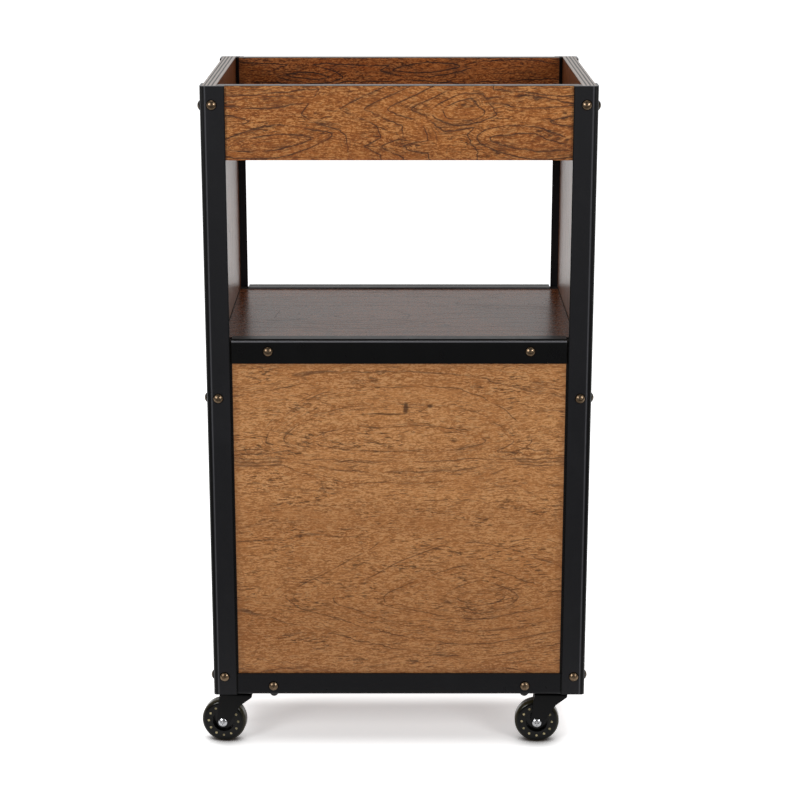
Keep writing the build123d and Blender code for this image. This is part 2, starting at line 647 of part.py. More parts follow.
main()
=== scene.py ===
"""Looks of the serving trolley: finishes for its steel, wood, screws and casters, its studio and its camera.

All sizes are in metres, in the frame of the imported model: the front faces -Y and +Z is up.
"""
import json
import logging
import math
from dataclasses import dataclass, field
from enum import Enum
from functools import cache
from typing import Any

import bpy
import numpy as np
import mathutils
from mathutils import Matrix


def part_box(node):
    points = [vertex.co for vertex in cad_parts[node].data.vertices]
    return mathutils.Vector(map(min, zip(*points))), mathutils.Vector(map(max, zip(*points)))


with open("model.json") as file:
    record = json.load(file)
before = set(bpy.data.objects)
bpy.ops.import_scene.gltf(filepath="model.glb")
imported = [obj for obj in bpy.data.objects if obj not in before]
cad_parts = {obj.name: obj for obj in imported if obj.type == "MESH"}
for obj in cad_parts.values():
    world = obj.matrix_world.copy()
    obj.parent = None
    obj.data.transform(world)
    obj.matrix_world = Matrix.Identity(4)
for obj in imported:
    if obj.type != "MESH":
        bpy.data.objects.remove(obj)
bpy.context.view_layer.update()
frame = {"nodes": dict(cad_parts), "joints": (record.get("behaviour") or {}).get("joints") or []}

FRAME_PIXELS = 800
SENSOR = 36.0
CORNERS = ("front_left", "front_right", "back_left", "back_right")

log = logging.getLogger("trolley")

Colour = tuple[float, float, float, float]
Vector = tuple[float, float, float]
Span = tuple[float, float]
Socket = bpy.types.NodeSocket
Tree = bpy.types.NodeTree
Material = bpy.types.Material

ORIGIN = (0.0, 0.0, 0.0)
WHITE = (1.0, 1.0, 1.0, 1.0)
GLOSS_SPREAD = 0.16
SAWN_SKIN = (0.0006, 0.0002)  # how far below a sawn top its colour starts, and how far below it is full


def seen(red: float, green: float, blue: float) -> Colour:
    """Gives the scene's linear colour for one that is written as it is seen on a screen, 0 to 255.

    Args:
        red: Red as seen.
        green: Green as seen.
        blue: Blue as seen.

    Returns:
        Linear red, green, blue and a full alpha.
    """
    shares = np.array([red, green, blue]) / 255.0
    linear = np.where(shares <= 0.04045, shares / 12.92, ((shares + 0.055) / 1.055) ** 2.4)
    return (*linear.tolist(), 1.0)


def socket_name(keyword: str) -> str:
    """Gives the name of the socket that a keyword stands for."""
    return keyword.replace("_", " ").capitalize()


@dataclass(frozen=True)
class Noise:
    """A noise: its scale on each axis, its octaves, the strength of the finer ones and its own bend."""

    scale: Any
    detail: float = 2.0
    roughness: float = 0.5
    bend: float = 0.0


# Noises of the grain, along, across and through a board
LINE_FADE = Noise((22.0, 50.0, 40.0), 3.0, 0.6)
FINER_LINE_PATCHES = Noise((30.0, 75.0, 60.0), 3.0, 0.6)
PORES = Noise((90.0, 640.0, 200.0), 2.0, 0.6)
PORE_CROWDS = Noise((16.0, 40.0, 30.0))
TONES = Noise((6.0, 22.0, 20.0), 3.0, 0.55, 0.6)
GRIT = Noise((300.0, 680.0, 200.0), 2.0, 0.6)
HAIRS = Noise((105.0, 720.0, 200.0), 2.0, 0.6)
CALM_PATCHES = Noise((14.0, 45.0, 20.0))
COARSE_WAVER = Noise((30.0, 70.0, 20.0))
FINE_WAVER = Noise((170.0, 300.0, 60.0))

# Noises of the other surfaces, along x, y and z
EDGE_NOISE = Noise((90.0, 90.0, 90.0), 3.0, 0.6)
PLY_WAVES = Noise((20.0, 30.0, 1.0))
MOTTLE = Noise((55.0, 55.0, 40.0), 4.0, 0.6)
RUBBED_PATCHES = Noise((12.0, 12.0, 7.0), 3.0, 0.55)
BRONZE_STAINS = Noise((160.0, 160.0, 160.0), 3.0, 0.55)
FLOOR_SPECKS = Noise((6.0, 6.0, 6.0), 3.0, 0.5)


# Node trees
class Graph:
    """Adds nodes to a tree and links them, so that a finish reads as a list of steps."""

    def __init__(self, tree: Tree) -> None:
        """Keeps the tree that nodes are added to."""
        self.tree = tree

    def feed(self, socket: Socket, value: Any) -> None:
        """Links a socket to the input, or sets the input to a constant.

        Args:
            socket: Input to feed.
            value: Output socket or constant.
        """
        if isinstance(value, Socket):
            self.tree.links.new(value, socket)
        else:
            socket.default_value = value

    def add(self, kind: str, inputs: dict[str | int, Any] | None = None, **settings: Any) -> bpy.types.Node:
        """Adds one node.

        Args:
            kind: Blender's name of the node type.
            inputs: Values by the input's name or number.
            settings: Properties of the node.

        Returns:
            The new node.
        """
        node = self.tree.nodes.new(kind)
        for name, value in settings.items():
            setattr(node, name, value)
        for key, value in (inputs or {}).items():
            self.feed(node.inputs[key], value)
        return node

    def math(self, operation: str, *values: Any) -> Socket:
        """Adds a Math node and gives its result."""
        return self.add("ShaderNodeMath", dict(enumerate(values)), operation=operation).outputs[0]

    def times(self, first: Any, second: Any) -> Socket:
        """Multiplies two values."""
        return self.math("MULTIPLY", first, second)

    def plus(self, first: Any, second: Any) -> Socket:
        """Adds two values."""
        return self.math("ADD", first, second)

    def minus(self, first: Any, second: Any) -> Socket:
        """Takes the second value from the first."""
        return self.math("SUBTRACT", first, second)

    def fused(self, value: Any, factor: Any, offset: Any) -> Socket:
        """Multiplies a value by a factor and adds an offset."""
        return self.math("MULTIPLY_ADD", value, factor, offset)

    def unsigned(self, value: Socket) -> Socket:
        """Drops a value's sign."""
        return self.math("ABSOLUTE", value)

    def diagonal(self, first: Any, second: Any) -> Socket:
        """Gives the root of the sum of two squares."""
        return self.math("SQRT", self.fused(first, first, self.times(second, second)))

    def vector(self, operation: str, *values: Any) -> Socket:
        """Adds a Vector Math node and gives its vector, or the one number that some operations give."""
        node = self.add("ShaderNodeVectorMath", dict(enumerate(values)), operation=operation)
        return node.outputs["Value" if operation in ("DOT_PRODUCT", "LENGTH") else "Vector"]

    def parts(self, vector: Socket) -> tuple[Socket, Socket, Socket]:
        """Splits a vector into its three parts."""
        return tuple(self.add("ShaderNodeSeparateXYZ", {0: vector}).outputs)

    def joined(self, x: Any, y: Any, z: Any) -> Socket:
        """Joins three parts into a vector."""
        return self.add("ShaderNodeCombineXYZ", {0: x, 1: y, 2: z}).outputs[0]

    def inset(self, place: Socket, low: Any, high: Any) -> tuple[Socket, Socket, Socket]:
        """Gives how far a place is inside a box along each axis, below 0 outside the box."""
        sides = (self.vector("SUBTRACT", place, low), self.vector("SUBTRACT", high, place))
        return self.parts(self.vector("MINIMUM", *sides))

    def noise(self, place: Socket, kind: Noise) -> Socket:
        """Adds a noise.

        Args:
            place: Where the noise is read.
            kind: Which noise.

        Returns:
            Noise from 0 to 1.
        """
        scaled = self.vector("MULTIPLY", place, kind.scale)
        inputs = {"Vector": scaled, "Scale": 1.0, "Detail": kind.detail, "Roughness": kind.roughness,
                  "Distortion": kind.bend}
        return self.add("ShaderNodeTexNoise", inputs).outputs[0]

    def band(self, value: Any, low: Any, high: Any, to_low: Any = 0.0, to_high: Any = 1.0) -> Socket:
        """Maps a value smoothly from one range, low to high, to another."""
        inputs = {0: value, 1: low, 2: high, 3: to_low, 4: to_high}
        return self.add("ShaderNodeMapRange", inputs, interpolation_type="SMOOTHSTEP").outputs[0]

    def fall(self, value: Any, low: Any, high: Any) -> Socket:
        """Maps a value smoothly to 1 before a range and 0 after it."""
        return self.band(value, low, high, 1.0, 0.0)

    def mixed(self, share: Any, first: Any, second: Any, blend: str = "MIX") -> Socket:
        """Mixes a share of a second colour into a first one."""
        settings = {"data_type": "RGBA", "blend_type": blend, "clamp_factor": True}
        return self.add("ShaderNodeMix", {0: share, 6: first, 7: second}, **settings).outputs[2]

    def ramp(self, share: Socket, stops: list[tuple[float, Colour]]) -> Socket:
        """Colours a value by stops.

        Args:
            share: Value from 0 to 1.
            stops: Place and colour of each stop, in order.

        Returns:
            The colour.
        """
        node = self.add("ShaderNodeValToRGB", {0: share})
        elements = node.color_ramp.elements
        for _ in stops[2:]:
            elements.new(0.5)
        for element, (place, colour) in zip(elements, stops):
            element.position = place
            element.color = colour
        return node.outputs[0]

    def bump(self, height: Socket, strength: float, distance: float) -> Socket:
        """Turns a height from 0 to 1 into a bent normal, with the real distance that 1 stands for."""
        inputs = {"Height": height, "Strength": strength, "Distance": distance}
        return self.add("ShaderNodeBump", inputs).outputs[0]

    def group(self, tree: Tree, **inputs: Any) -> dict[str, Socket]:
        """Places a node group, with its inputs as keywords, and gives its outputs by name."""
        values = {socket_name(keyword): value for keyword, value in inputs.items()}
        return {out.name: out for out in self.add("ShaderNodeGroup", values, node_tree=tree).outputs}


class Effect:
    """A node group with named sockets that several finishes share."""

    def __init__(self, name: str, inputs: dict[str, Any], outputs: dict[str, str]) -> None:
        """Makes the group and its sockets.

        Args:
            name: Name of the group.
            inputs: Default by name: a number or a vector.
            outputs: Kind by name: Float, Vector or Color.
        """
        self.tree = bpy.data.node_groups.new(name, "ShaderNodeTree")
        for title, default in inputs.items():
            kind = "NodeSocketVector" if isinstance(default, tuple) else "NodeSocketFloat"
            self.tree.interface.new_socket(title, in_out="INPUT", socket_type=kind).default_value = default
        for title, kind in outputs.items():
            self.tree.interface.new_socket(title, in_out="OUTPUT", socket_type=f"NodeSocket{kind}")
        self.graph = Graph(self.tree)
        self.given = {socket.name: socket for socket in self.graph.add("NodeGroupInput").outputs}
        self.result = self.graph.add("NodeGroupOutput")

    def put_out(self, **values: Socket) -> Tree:
        """Links the group's outputs.

        Args:
            values: Sockets by the output's name, with underscores for spaces.

        Returns:
            The finished group.
        """
        for keyword, value in values.items():
            self.graph.feed(self.result.inputs[socket_name(keyword)], value)
        return self.tree


# Shared effects, each made once
LEAF_ROUND = 0.1
LEAF_MERGE = 0.15
WEDGE_ROUND = math.sqrt(0.00001)
WEDGE_SHIFT = 0.003
WEDGE_MERGE = 0.008
FADE_BEFORE = 0.1
FADE_AFTER = 0.08
FINER_LINES = 4.0
FINER_SHIFT = 0.4
FINER_STRENGTH = 0.6
SWEEP = 0.004
GRIT_SHARE = 0.7
HAIR_SHARE = 0.6
PORE_BAND = (0.55, 0.62)
PALE_BAND = (0.38, 0.45)
PALE_SHARE = 0.06


def sided(graph: Graph, side: Socket, pair: Socket) -> Socket:
    """Picks the first of a pair where a value is above 0, and the second where it is not."""
    above, below, _ = graph.parts(pair)
    return graph.fused(graph.math("GREATER_THAN", side, 0.0), graph.minus(above, below), below)


@cache
def leaf_effect() -> Tree:
    """Makes the group that lifts a leaf-shaped hill in the field of growth rings.

    The hill is 1 - (along / reach)^power - |across| / height, kept above 0. It has its own reach to each
    side and its own height above and below, so its contours are leaves with pointed tips. It leans.

    Returns:
        The group.
    """
    start = {"Place": ORIGIN, "Centre": ORIGIN, "Reach": (0.1, 0.1, 0.0), "Height": (0.02, 0.02, 0.0),
             "Power": 2.0, "Rings": 1.0, "Field": 0.0}
    effect = Effect("Grain leaf", start, {"Field": "Float"})
    graph, given = effect.graph, effect.given
    lean = graph.parts(given["Centre"])[2]
    along, across, _ = graph.parts(graph.vector("SUBTRACT", given["Place"], given["Centre"]))
    across = graph.minus(across, graph.times(lean, along))
    run = graph.diagonal(graph.math("DIVIDE", along, sided(graph, along, given["Reach"])), LEAF_ROUND)
    rise = graph.diagonal(graph.math("DIVIDE", across, sided(graph, across, given["Height"])), LEAF_ROUND)
    hill = graph.minus(graph.minus(1.0 + LEAF_ROUND, graph.math("POWER", run, given["Power"])), rise)
    lifted = graph.math("SMOOTH_MAX", hill, 0.0, LEAF_MERGE)
    return effect.put_out(field=graph.fused(lifted, given["Rings"], given["Field"]))


@cache
def wedge_effect() -> Tree:
    """Makes the group that adds nested arrow-shaped rings, which point against the grain's direction.

    The step is (along - |across| * spread) / spacing, kept between 0 and the count of rings. Below a depth
    the rings run straight across.

    Returns:
        The group.
    """
    start = {"Place": ORIGIN, "Tip": (0.0, 0.0, 0.02), "Spread": (2.0, 2.0, 0.0), "Spacing": 0.03,
             "Count": 1.0, "Field": 0.0}
    effect = Effect("Grain wedge", start, {"Field": "Float"})
    graph, given = effect.graph, effect.given
    depth = graph.parts(given["Tip"])[2]
    along, across, _ = graph.parts(graph.vector("SUBTRACT", given["Place"], given["Tip"]))
    across = graph.math("SMOOTH_MAX", across, graph.times(depth, -1.0), WEDGE_MERGE)
    away = graph.minus(graph.diagonal(across, WEDGE_ROUND), WEDGE_SHIFT)
    back = graph.times(away, sided(graph, across, given["Spread"]))
    step = graph.math("DIVIDE", graph.minus(along, back), given["Spacing"])
    step = graph.math("MINIMUM", graph.math("MAXIMUM", step, 0.0), given["Count"])
    return effect.put_out(field=graph.plus(step, given["Field"]))


def ring_line(graph: Graph, rings: Socket, slope: Socket, width: Socket) -> Socket:
    """Draws a line of even half width wherever a field of rings, of a known slope, passes a whole number."""
    away = graph.math("DIVIDE", graph.math("PINGPONG", rings, 0.5), slope)
    return graph.fall(away, graph.times(width, 0.3), width)


@cache
def grain_effect() -> Tree:
    """Makes the group that turns a field of growth rings into wood grain.

    A ring's phase is the fraction of the field. Its dark line sits where the phase starts, and fades in and
    out along the board. Finer lines fill the rings. Dashes, grit and hairs are noises that are stretched
    along the grain. The highest dashes are pores and the lowest are pale flecks.

    Returns:
        The group.
    """
    start = {"Place": ORIGIN, "Field": 0.0, "Slope": 100.0, "Line width": 0.001, "Line fade": 0.5,
             "Fineness": (1.0, 1.0, 1.0)}
    effect = Effect("Wood grain", start, dict.fromkeys(("Phase", "Line", "Pores", "Tone", "Flecks"), "Float"))
    graph, given = effect.graph, effect.given
    place, rings, slope = given["Place"], given["Field"], given["Slope"]
    fade = graph.noise(place, LINE_FADE)
    fade_end = graph.plus(given["Line fade"], FADE_AFTER)
    shown = graph.band(fade, graph.minus(given["Line fade"], FADE_BEFORE), fade_end)
    width = graph.times(given["Line width"], graph.plus(fade, 0.5))
    strong = graph.times(ring_line(graph, rings, slope, width), shown)
    finer_rings = graph.fused(rings, FINER_LINES, FINER_SHIFT)
    finer = ring_line(graph, finer_rings, graph.times(slope, FINER_LINES), width)
    faint = graph.times(finer, graph.band(graph.noise(place, FINER_LINE_PATCHES), 0.46, 0.66))
    line = graph.math("MINIMUM", graph.fused(faint, FINER_STRENGTH, strong), 1.0)
    swept = graph.vector("ADD", place, graph.joined(0.0, graph.times(rings, SWEEP), 0.0))
    fine_place = graph.vector("MULTIPLY", place, given["Fineness"])
    fine_swept = graph.vector("MULTIPLY", swept, given["Fineness"])
    dashes = graph.noise(fine_swept, PORES)
    crowd = graph.band(graph.noise(place, PORE_CROWDS), 0.42, 0.62, 0.3, 1.0)
    pores = graph.times(graph.band(dashes, *PORE_BAND), crowd)
    pale = graph.times(graph.fall(dashes, *PALE_BAND), crowd)
    hairs = graph.times(graph.noise(fine_swept, HAIRS), HAIR_SHARE)
    both = graph.fused(graph.noise(fine_place, GRIT), GRIT_SHARE, hairs)
    calm = graph.band(graph.noise(swept, CALM_PATCHES), 0.36, 0.64, 0.6, 1.2)
    flecks = graph.fused(graph.minus(both, (GRIT_SHARE + HAIR_SHARE) / 2), calm, 0.5)
    return effect.put_out(phase=graph.math("FRACT", rings), line=line, pores=pores,
                          tone=graph.noise(place, TONES), flecks=graph.fused(pale, PALE_SHARE, flecks))


@cache
def edge_effect() -> Tree:
    """Makes the group that finds the edges of a box-shaped board.

    Each axis gives the distance to the nearer face. An edge is where two of the three distances are small,
    which is where the middle one of the three is small.

    Returns:
        The group.
    """
    start = {"Position": ORIGIN, "Low": ORIGIN, "High": (1.0, 1.0, 1.0), "Width": 0.003}
    effect = Effect("Board edge", start, {"Edge": "Float"})
    graph, given = effect.graph, effect.given
    x, y, z = graph.inset(given["Position"], given["Low"], given["High"])
    larger = graph.math("MAXIMUM", x, y)
    smaller = graph.math("MINIMUM", x, y)
    middle = graph.math("MAXIMUM", smaller, graph.math("MINIMUM", larger, z))
    reach = graph.times(given["Width"], graph.plus(graph.noise(given["Position"], EDGE_NOISE), 0.5))
    return effect.put_out(edge=graph.fall(middle, 0.0, reach))


@cache
def border_effect() -> Tree:
    """Makes the group that finds the painted shade round the opening in which a board shows, where the frame
    stands in front of it.

    The distance is to the nearest of the opening's four borders along and across the board.

    Returns:
        The group.
    """
    start = {"Place": ORIGIN, "Low": (-1.0, -1.0, 0.0), "High": (1.0, 1.0, 0.0), "Width": 0.003}
    effect = Effect("Opening border", start, {"Border": "Float"})
    graph, given = effect.graph, effect.given
    along, across, _ = graph.inset(given["Place"], given["Low"], given["High"])
    nearer = graph.math("MINIMUM", along, across)
    return effect.put_out(border=graph.fall(nearer, 0.0, given["Width"]))


@cache
def coat_effect() -> Tree:
    """Makes the group for a sprayed or plated skin: fine peel, faint mottle and soft rubbed patches.

    Returns:
        The group.
    """
    outputs = dict.fromkeys(("Height", "Mottle", "Rub"), "Float")
    effect = Effect("Skin", {"Position": ORIGIN, "Peel": 900.0}, outputs)
    graph, position = effect.graph, effect.given["Position"]
    peel = graph.noise(position, Noise(effect.given["Peel"]))
    rub = graph.band(graph.noise(position, RUBBED_PATCHES), 0.5, 0.72)
    return effect.put_out(height=peel, mottle=graph.noise(position, MOTTLE), rub=rub)


@cache
def wheel_effect() -> Tree:
    """Makes the group that gives a wheel's polar place from its centre and its forward direction.

    The turn is the angle round the axle as a share of a full turn. The radius is the distance from the axle.

    Returns:
        The group.
    """
    start = {"Position": ORIGIN, "Centre": ORIGIN, "Forward": (1.0, 0.0, 0.0)}
    effect = Effect("Wheel place", start, {"Turn": "Float", "Radius": "Float"})
    graph, given = effect.graph, effect.given
    arm = graph.vector("SUBTRACT", given["Position"], given["Centre"])
    forward = graph.vector("DOT_PRODUCT", arm, given["Forward"])
    up = graph.parts(arm)[2]
    turn = graph.fused(graph.math("ARCTAN2", up, forward), 0.5 / math.pi, 0.5)
    return effect.put_out(turn=turn, radius=graph.diagonal(up, forward))


# Finishes
def new_material(name: str) -> tuple[Material, Graph, bpy.types.Node, Socket]:
    """Starts a material.

    Args:
        name: Name of the material.

    Returns:
        The material, its graph, its Principled shader and the Object coordinates.
    """
    material = bpy.data.materials.new(name)
    material.use_nodes = True
    graph = Graph(material.node_tree)
    shader = material.node_tree.nodes["Principled BSDF"]
    position = graph.add("ShaderNodeTexCoord").outputs["Object"]
    return material, graph, shader, position


def sawn_top(graph: Graph, position: Socket, top: float) -> Socket:
    """Gives the mask of the sawn face at the top of a piece."""
    start, full = SAWN_SKIN
    return graph.band(graph.parts(position)[2], top - start, top - full)


class Lie(Enum):
    """How a board lies: the grain runs along the first axis, and the rings are crossed along the second."""

    FRONT = (0, 2, 1)
    LEVEL = (0, 1, 2)
    SIDE = (2, 1, 0)


class TopEdge(Enum):
    """What shows on a board's top edge: its face veneer, its glued plies, or a sanded cut."""

    FACE = "face"
    PLIES = "plies"
    CUT = "cut"


@dataclass(frozen=True)
class Leaf:
    """A leaf-shaped figure in the grain; a mirrored one shows on both halves, as on matched veneer."""

    along: float
    across: float
    before: float
    after: float
    above: float
    below: float
    rings: float
    power: float = 2.0
    lean: float = 0.0
    mirrored: bool = False

    def shape(self) -> tuple[Tree, dict[str, Any]]:
        """Gives the leaf's group and inputs."""
        centre = (self.along, self.across, self.lean)
        return leaf_effect(), {"centre": centre, "reach": (self.after, self.before, 0.0), "power": self.power,
                               "height": (self.above, self.below, 0.0), "rings": self.rings}


@dataclass(frozen=True)
class Wedge:
    """Nested arrow-shaped figures in the grain; a mirrored set shows on both halves, as on matched veneer."""

    along: float
    across: float
    spread_above: float
    spread_below: float
    spacing: float
    count: float
    depth: float
    mirrored: bool = False

    def shape(self) -> tuple[Tree, dict[str, Any]]:
        """Gives the wedge's group and inputs."""
        spread = (self.spread_above, self.spread_below, 0.0)
        return wedge_effect(), {"tip": (self.along, self.across, self.depth), "spread": spread,
                                "spacing": self.spacing, "count": self.count}


Figures = tuple[Leaf | Wedge, ...]


@dataclass(frozen=True)
class Surface:
    """A board's material while it is made, with the board's box and the board's own place, plain and bent."""

    graph: Graph
    position: Socket
    place: Socket
    bent: Socket
    low: Vector
    high: Vector


@dataclass(frozen=True)
class WoodFinish:
    """Satin lacquered veneer: rings with leaf figures, fading dark lines, pores, flecks and toned patches."""

    name: str
    lie: Lie
    light: Colour
    middle: Colour
    warm: Colour
    dark: Colour
    line: Colour
    fleck: Colour
    figures: Figures = ()
    pitch: float = 0.026
    shift: float = 0.0
    drift: float = 0.0001
    waver: float = 0.007
    wander: float = 1.0
    wander_scale: Vector = (8.0, 26.0, 8.0)
    probe: float = 0.0006
    least_slope: float = 12.0
    line_strength: float = 0.9
    line_width: float = 0.0011
    line_fade: float = 0.42
    pore_strength: float = 0.75
    fleck_strength: float = 0.8
    fineness: Vector = (1.0, 1.0, 1.0)
    edge_strength: float = 0.6
    edge_width: float = 0.0018
    gloss: float = 0.32
    top: TopEdge = TopEdge.FACE
    cut_line: Span = (0.008, 0.012)
    # Opening in which the board shows, and the painted shade round it
    opening: tuple[Vector, Vector] | None = None
    border_width: float = 0.0007
    haze_shade_width: float = 0.012
    haze_shade_strength: float = 0.35
    bands: tuple[Span, ...] = ()
    knots: tuple[tuple[Vector, Vector], ...] = ()
    # Inner face of an upright panel, which gets painted shade
    inside: float | None = None
    inside_shade_level: float = 0.6
    inside_shade_skin: Span = (0.0002, 0.001)

    def material(self, low: Vector, high: Vector) -> Material:
        """Makes the finish for one board.

        Args:
            low: Lowest corner of the board.
            high: Highest corner of the board.

        Returns:
            The material.
        """
        material, graph, shader, position = new_material(self.name)
        parts = graph.parts(position)
        place = graph.joined(*(parts[axis] for axis in self.lie.value))
        rings, slope, bent = self.rings(graph, place, self.figure())
        board = Surface(graph, position, place, bent, low, high)
        grain = graph.group(grain_effect(), place=bent, field=rings, slope=slope, line_width=self.line_width,
                            line_fade=self.line_fade, fineness=self.fineness)
        colour = self.colour(board, grain)
        for step in (self.with_bands, self.with_inside_shade, self.with_knots, self.with_top):
            colour = step(board, colour)
        colour, matt = self.with_border_shade(board, colour)
        pits = graph.math("MAXIMUM", grain["Pores"], graph.times(grain["Line"], 0.6))
        height = graph.minus(graph.times(grain["Flecks"], 0.15), pits)
        roughness = graph.fused(grain["Flecks"], GLOSS_SPREAD, self.gloss - GLOSS_SPREAD / 2)
        roughness = graph.fused(grain["Line"], 0.12, roughness)
        graph.feed(shader.inputs["Base Color"], colour)
        graph.feed(shader.inputs["Roughness"], graph.math("MAXIMUM", roughness, matt))
        graph.feed(shader.inputs["Normal"], graph.bump(height, 0.3, 0.0002))
        shader.inputs["Coat Weight"].default_value = 0.1
        shader.inputs["Coat Roughness"].default_value = 0.22
        return material

    def figure(self) -> Tree:
        """Makes the group that gives the board's field of growth rings, one unit per ring.

        The field is the place across the board over the ring's pitch, plus a wandering noise and the figures.
        The place is first bent a little, so that the lines waver, and each figure is pushed a little aside by
        the rings before it.

        Returns:
            The group.
        """
        effect = Effect(f"{self.name} figure", {"Place": ORIGIN}, {"Field": "Float", "Bent": "Vector"})
        graph, place = effect.graph, effect.given["Place"]
        fine_bend = graph.times(graph.minus(graph.noise(place, FINE_WAVER), 0.5), 0.2 * self.waver)
        bend = graph.fused(graph.minus(graph.noise(place, COARSE_WAVER), 0.5), self.waver, fine_bend)
        bent = graph.vector("ADD", place, graph.joined(graph.times(bend, 1.5), bend, 0.0))
        along, across, depth = graph.parts(bent)
        level = graph.fused(across, 1.0 / self.pitch, self.shift)
        rings = graph.fused(graph.noise(bent, Noise(self.wander_scale, 1.0, 0.4)), self.wander, level)
        folded = graph.joined(graph.times(graph.unsigned(along), -1.0), across, depth)
        for figure in self.figures:
            aside = graph.joined(0.0, graph.times(rings, self.drift), 0.0)
            spot = graph.vector("ADD", folded if figure.mirrored else bent, aside)
            tree, inputs = figure.shape()
            rings = graph.group(tree, place=spot, field=rings, **inputs)["Field"]
        return effect.put_out(field=rings, bent=bent)

    def rings(self, graph: Graph, place: Socket, figure: Tree) -> tuple[Socket, Socket, Socket]:
        """Reads the field of rings and, from two places close by, how steep it is.

        Args:
            graph: The material's graph.
            place: Place on the board as along, across and depth.
            figure: The board's own group.

        Returns:
            The field, its slope in rings per metre and the bent place.
        """
        here = graph.group(figure, place=place)
        rises = []
        for step in ((self.probe, 0.0, 0.0), (0.0, self.probe, 0.0)):
            there = graph.group(figure, place=graph.vector("ADD", place, step))
            rises.append(graph.minus(there["Field"], here["Field"]))
        slope = graph.math("DIVIDE", graph.diagonal(*rises), self.probe)
        return here["Field"], graph.math("MAXIMUM", slope, self.least_slope), here["Bent"]

    def colour(self, board: Surface, grain: dict[str, Socket]) -> Socket:
        """Colours the grain and darkens the board's edges.

        Args:
            board: The board.
            grain: Outputs of the grain group.

        Returns:
            The colour.
        """
        graph = board.graph
        edge = graph.group(edge_effect(), position=board.position, low=board.low, high=board.high,
                           width=self.edge_width)["Edge"]
        ring = graph.ramp(grain["Phase"], [(0.0, self.warm), (0.15, self.middle), (0.45, self.light),
                                           (0.8, self.middle), (1.0, self.warm)])
        patches = graph.ramp(grain["Tone"], [(0.30, self.warm), (0.44, self.middle), (0.56, self.light),
                                             (0.72, self.warm)])
        colour = graph.mixed(0.5, patches, ring)
        marks = (
            (graph.band(grain["Flecks"], 0.50, 0.58), self.fleck_strength, self.fleck),
            (graph.fall(grain["Flecks"], 0.42, 0.50), self.fleck_strength, self.dark),
            (grain["Pores"], self.pore_strength, self.line),
            (grain["Line"], self.line_strength, self.line),
            (edge, self.edge_strength, self.line),
        )
        for mask, strength, mark in marks:
            colour = graph.mixed(graph.times(mask, strength), colour, mark)
        return colour

    def with_bands(self, board: Surface, face: Socket) -> Socket:
        """Shades the board in bands across the grain, the darker ones warmer.

        Args:
            board: The board.
            face: Colour so far.

        Returns:
            The colour.
        """
        if not self.bands:
            return face
        graph, across = board.graph, self.lie.value[1]
        share = graph.band(graph.parts(board.bent)[1], board.low[across], board.high[across])
        share.node.interpolation_type = "LINEAR"
        stops = [(spot, (level, level ** 1.3, level ** 1.6, 1.0)) for spot, level in self.bands]
        return graph.mixed(1.0, face, graph.ramp(share, stops), "MULTIPLY")

    def with_inside_shade(self, board: Surface, face: Socket) -> Socket:
        """Paints shade on the side of an upright panel that faces the inside of the trolley.

        Args:
            board: The board.
            face: Colour so far.

        Returns:
            The colour.
        """
        if not self.inside:
            return face
        graph, level = board.graph, self.inside_shade_level
        depth = graph.minus(graph.unsigned(graph.parts(board.position)[0]), self.inside)
        # Painted shade on the inner face
        stops = [(0.0, (level, level, level, 1.0)), (1.0, WHITE)]
        shade = graph.ramp(graph.band(depth, *self.inside_shade_skin), stops)
        return graph.mixed(1.0, face, shade, "MULTIPLY")

    def with_knots(self, board: Surface, face: Socket) -> Socket:
        """Draws the board's small dark knots.

        Args:
            board: The board.
            face: Colour so far.

        Returns:
            The colour.
        """
        graph = board.graph
        for centre, size in self.knots:
            arm = graph.vector("DIVIDE", graph.vector("SUBTRACT", board.bent, centre), size)
            knot = graph.band(graph.vector("LENGTH", arm), 0.4, 1.0, 0.8, 0.0)
            face = graph.mixed(knot, face, self.line)
        return face

    def with_top(self, board: Surface, face: Socket) -> Socket:
        """Shows the board's top edge as plies or as a sanded cut, where it is not veneered.

        Args:
            board: The board.
            face: Colour so far.

        Returns:
            The colour.
        """
        if self.top is TopEdge.FACE:
            return face
        sawn = self.plies(board) if self.top is TopEdge.PLIES else self.cut(board)
        return board.graph.mixed(sawn_top(board.graph, board.position, board.high[2]), face, sawn)

    def plies(self, board: Surface) -> Socket:
        """Draws the glued layers of an upright panel as stripes from its outer to its inner face.

        Args:
            board: The board.

        Returns:
            The colour.
        """
        graph, low, high = board.graph, board.low[0], board.high[0]
        outer, inner = (high, low) if high > 0 else (low, high)
        share = graph.math("DIVIDE", graph.minus(graph.parts(board.position)[0], outer), inner - outer)
        layer = graph.fused(graph.minus(graph.noise(board.position, PLY_WAVES), 0.5), 0.05, share)
        pale, grey, glue, blur = seen(184, 172, 164), seen(120, 108, 100), seen(8, 6, 5), 0.03
        layers = ((0.05, 0.12), (0.25, 0.36), (0.51, 0.64), (0.78, 0.92))
        stops = [(0.0, grey)]
        for start, end in layers:
            if start > layers[0][0]:
                stops.append((start - blur, glue))
            stops += [(start, pale), (end, pale)]
            if end < layers[-1][1]:
                stops.append((end + blur, glue))
        return graph.ramp(layer, [*stops, (1.0, grey)])

    def cut(self, board: Surface) -> Socket:
        """Draws the board's sanded top edge, grey with a dark line along its front; the grey is partly the
        sanded wood and partly a painted sheen.

        Args:
            board: The board.

        Returns:
            The colour.
        """
        graph, front = board.graph, board.low[1]
        line = graph.fall(graph.parts(board.position)[1], *(front + reach for reach in self.cut_line))
        return graph.mixed(line, seen(134, 131, 131), seen(48, 38, 33))

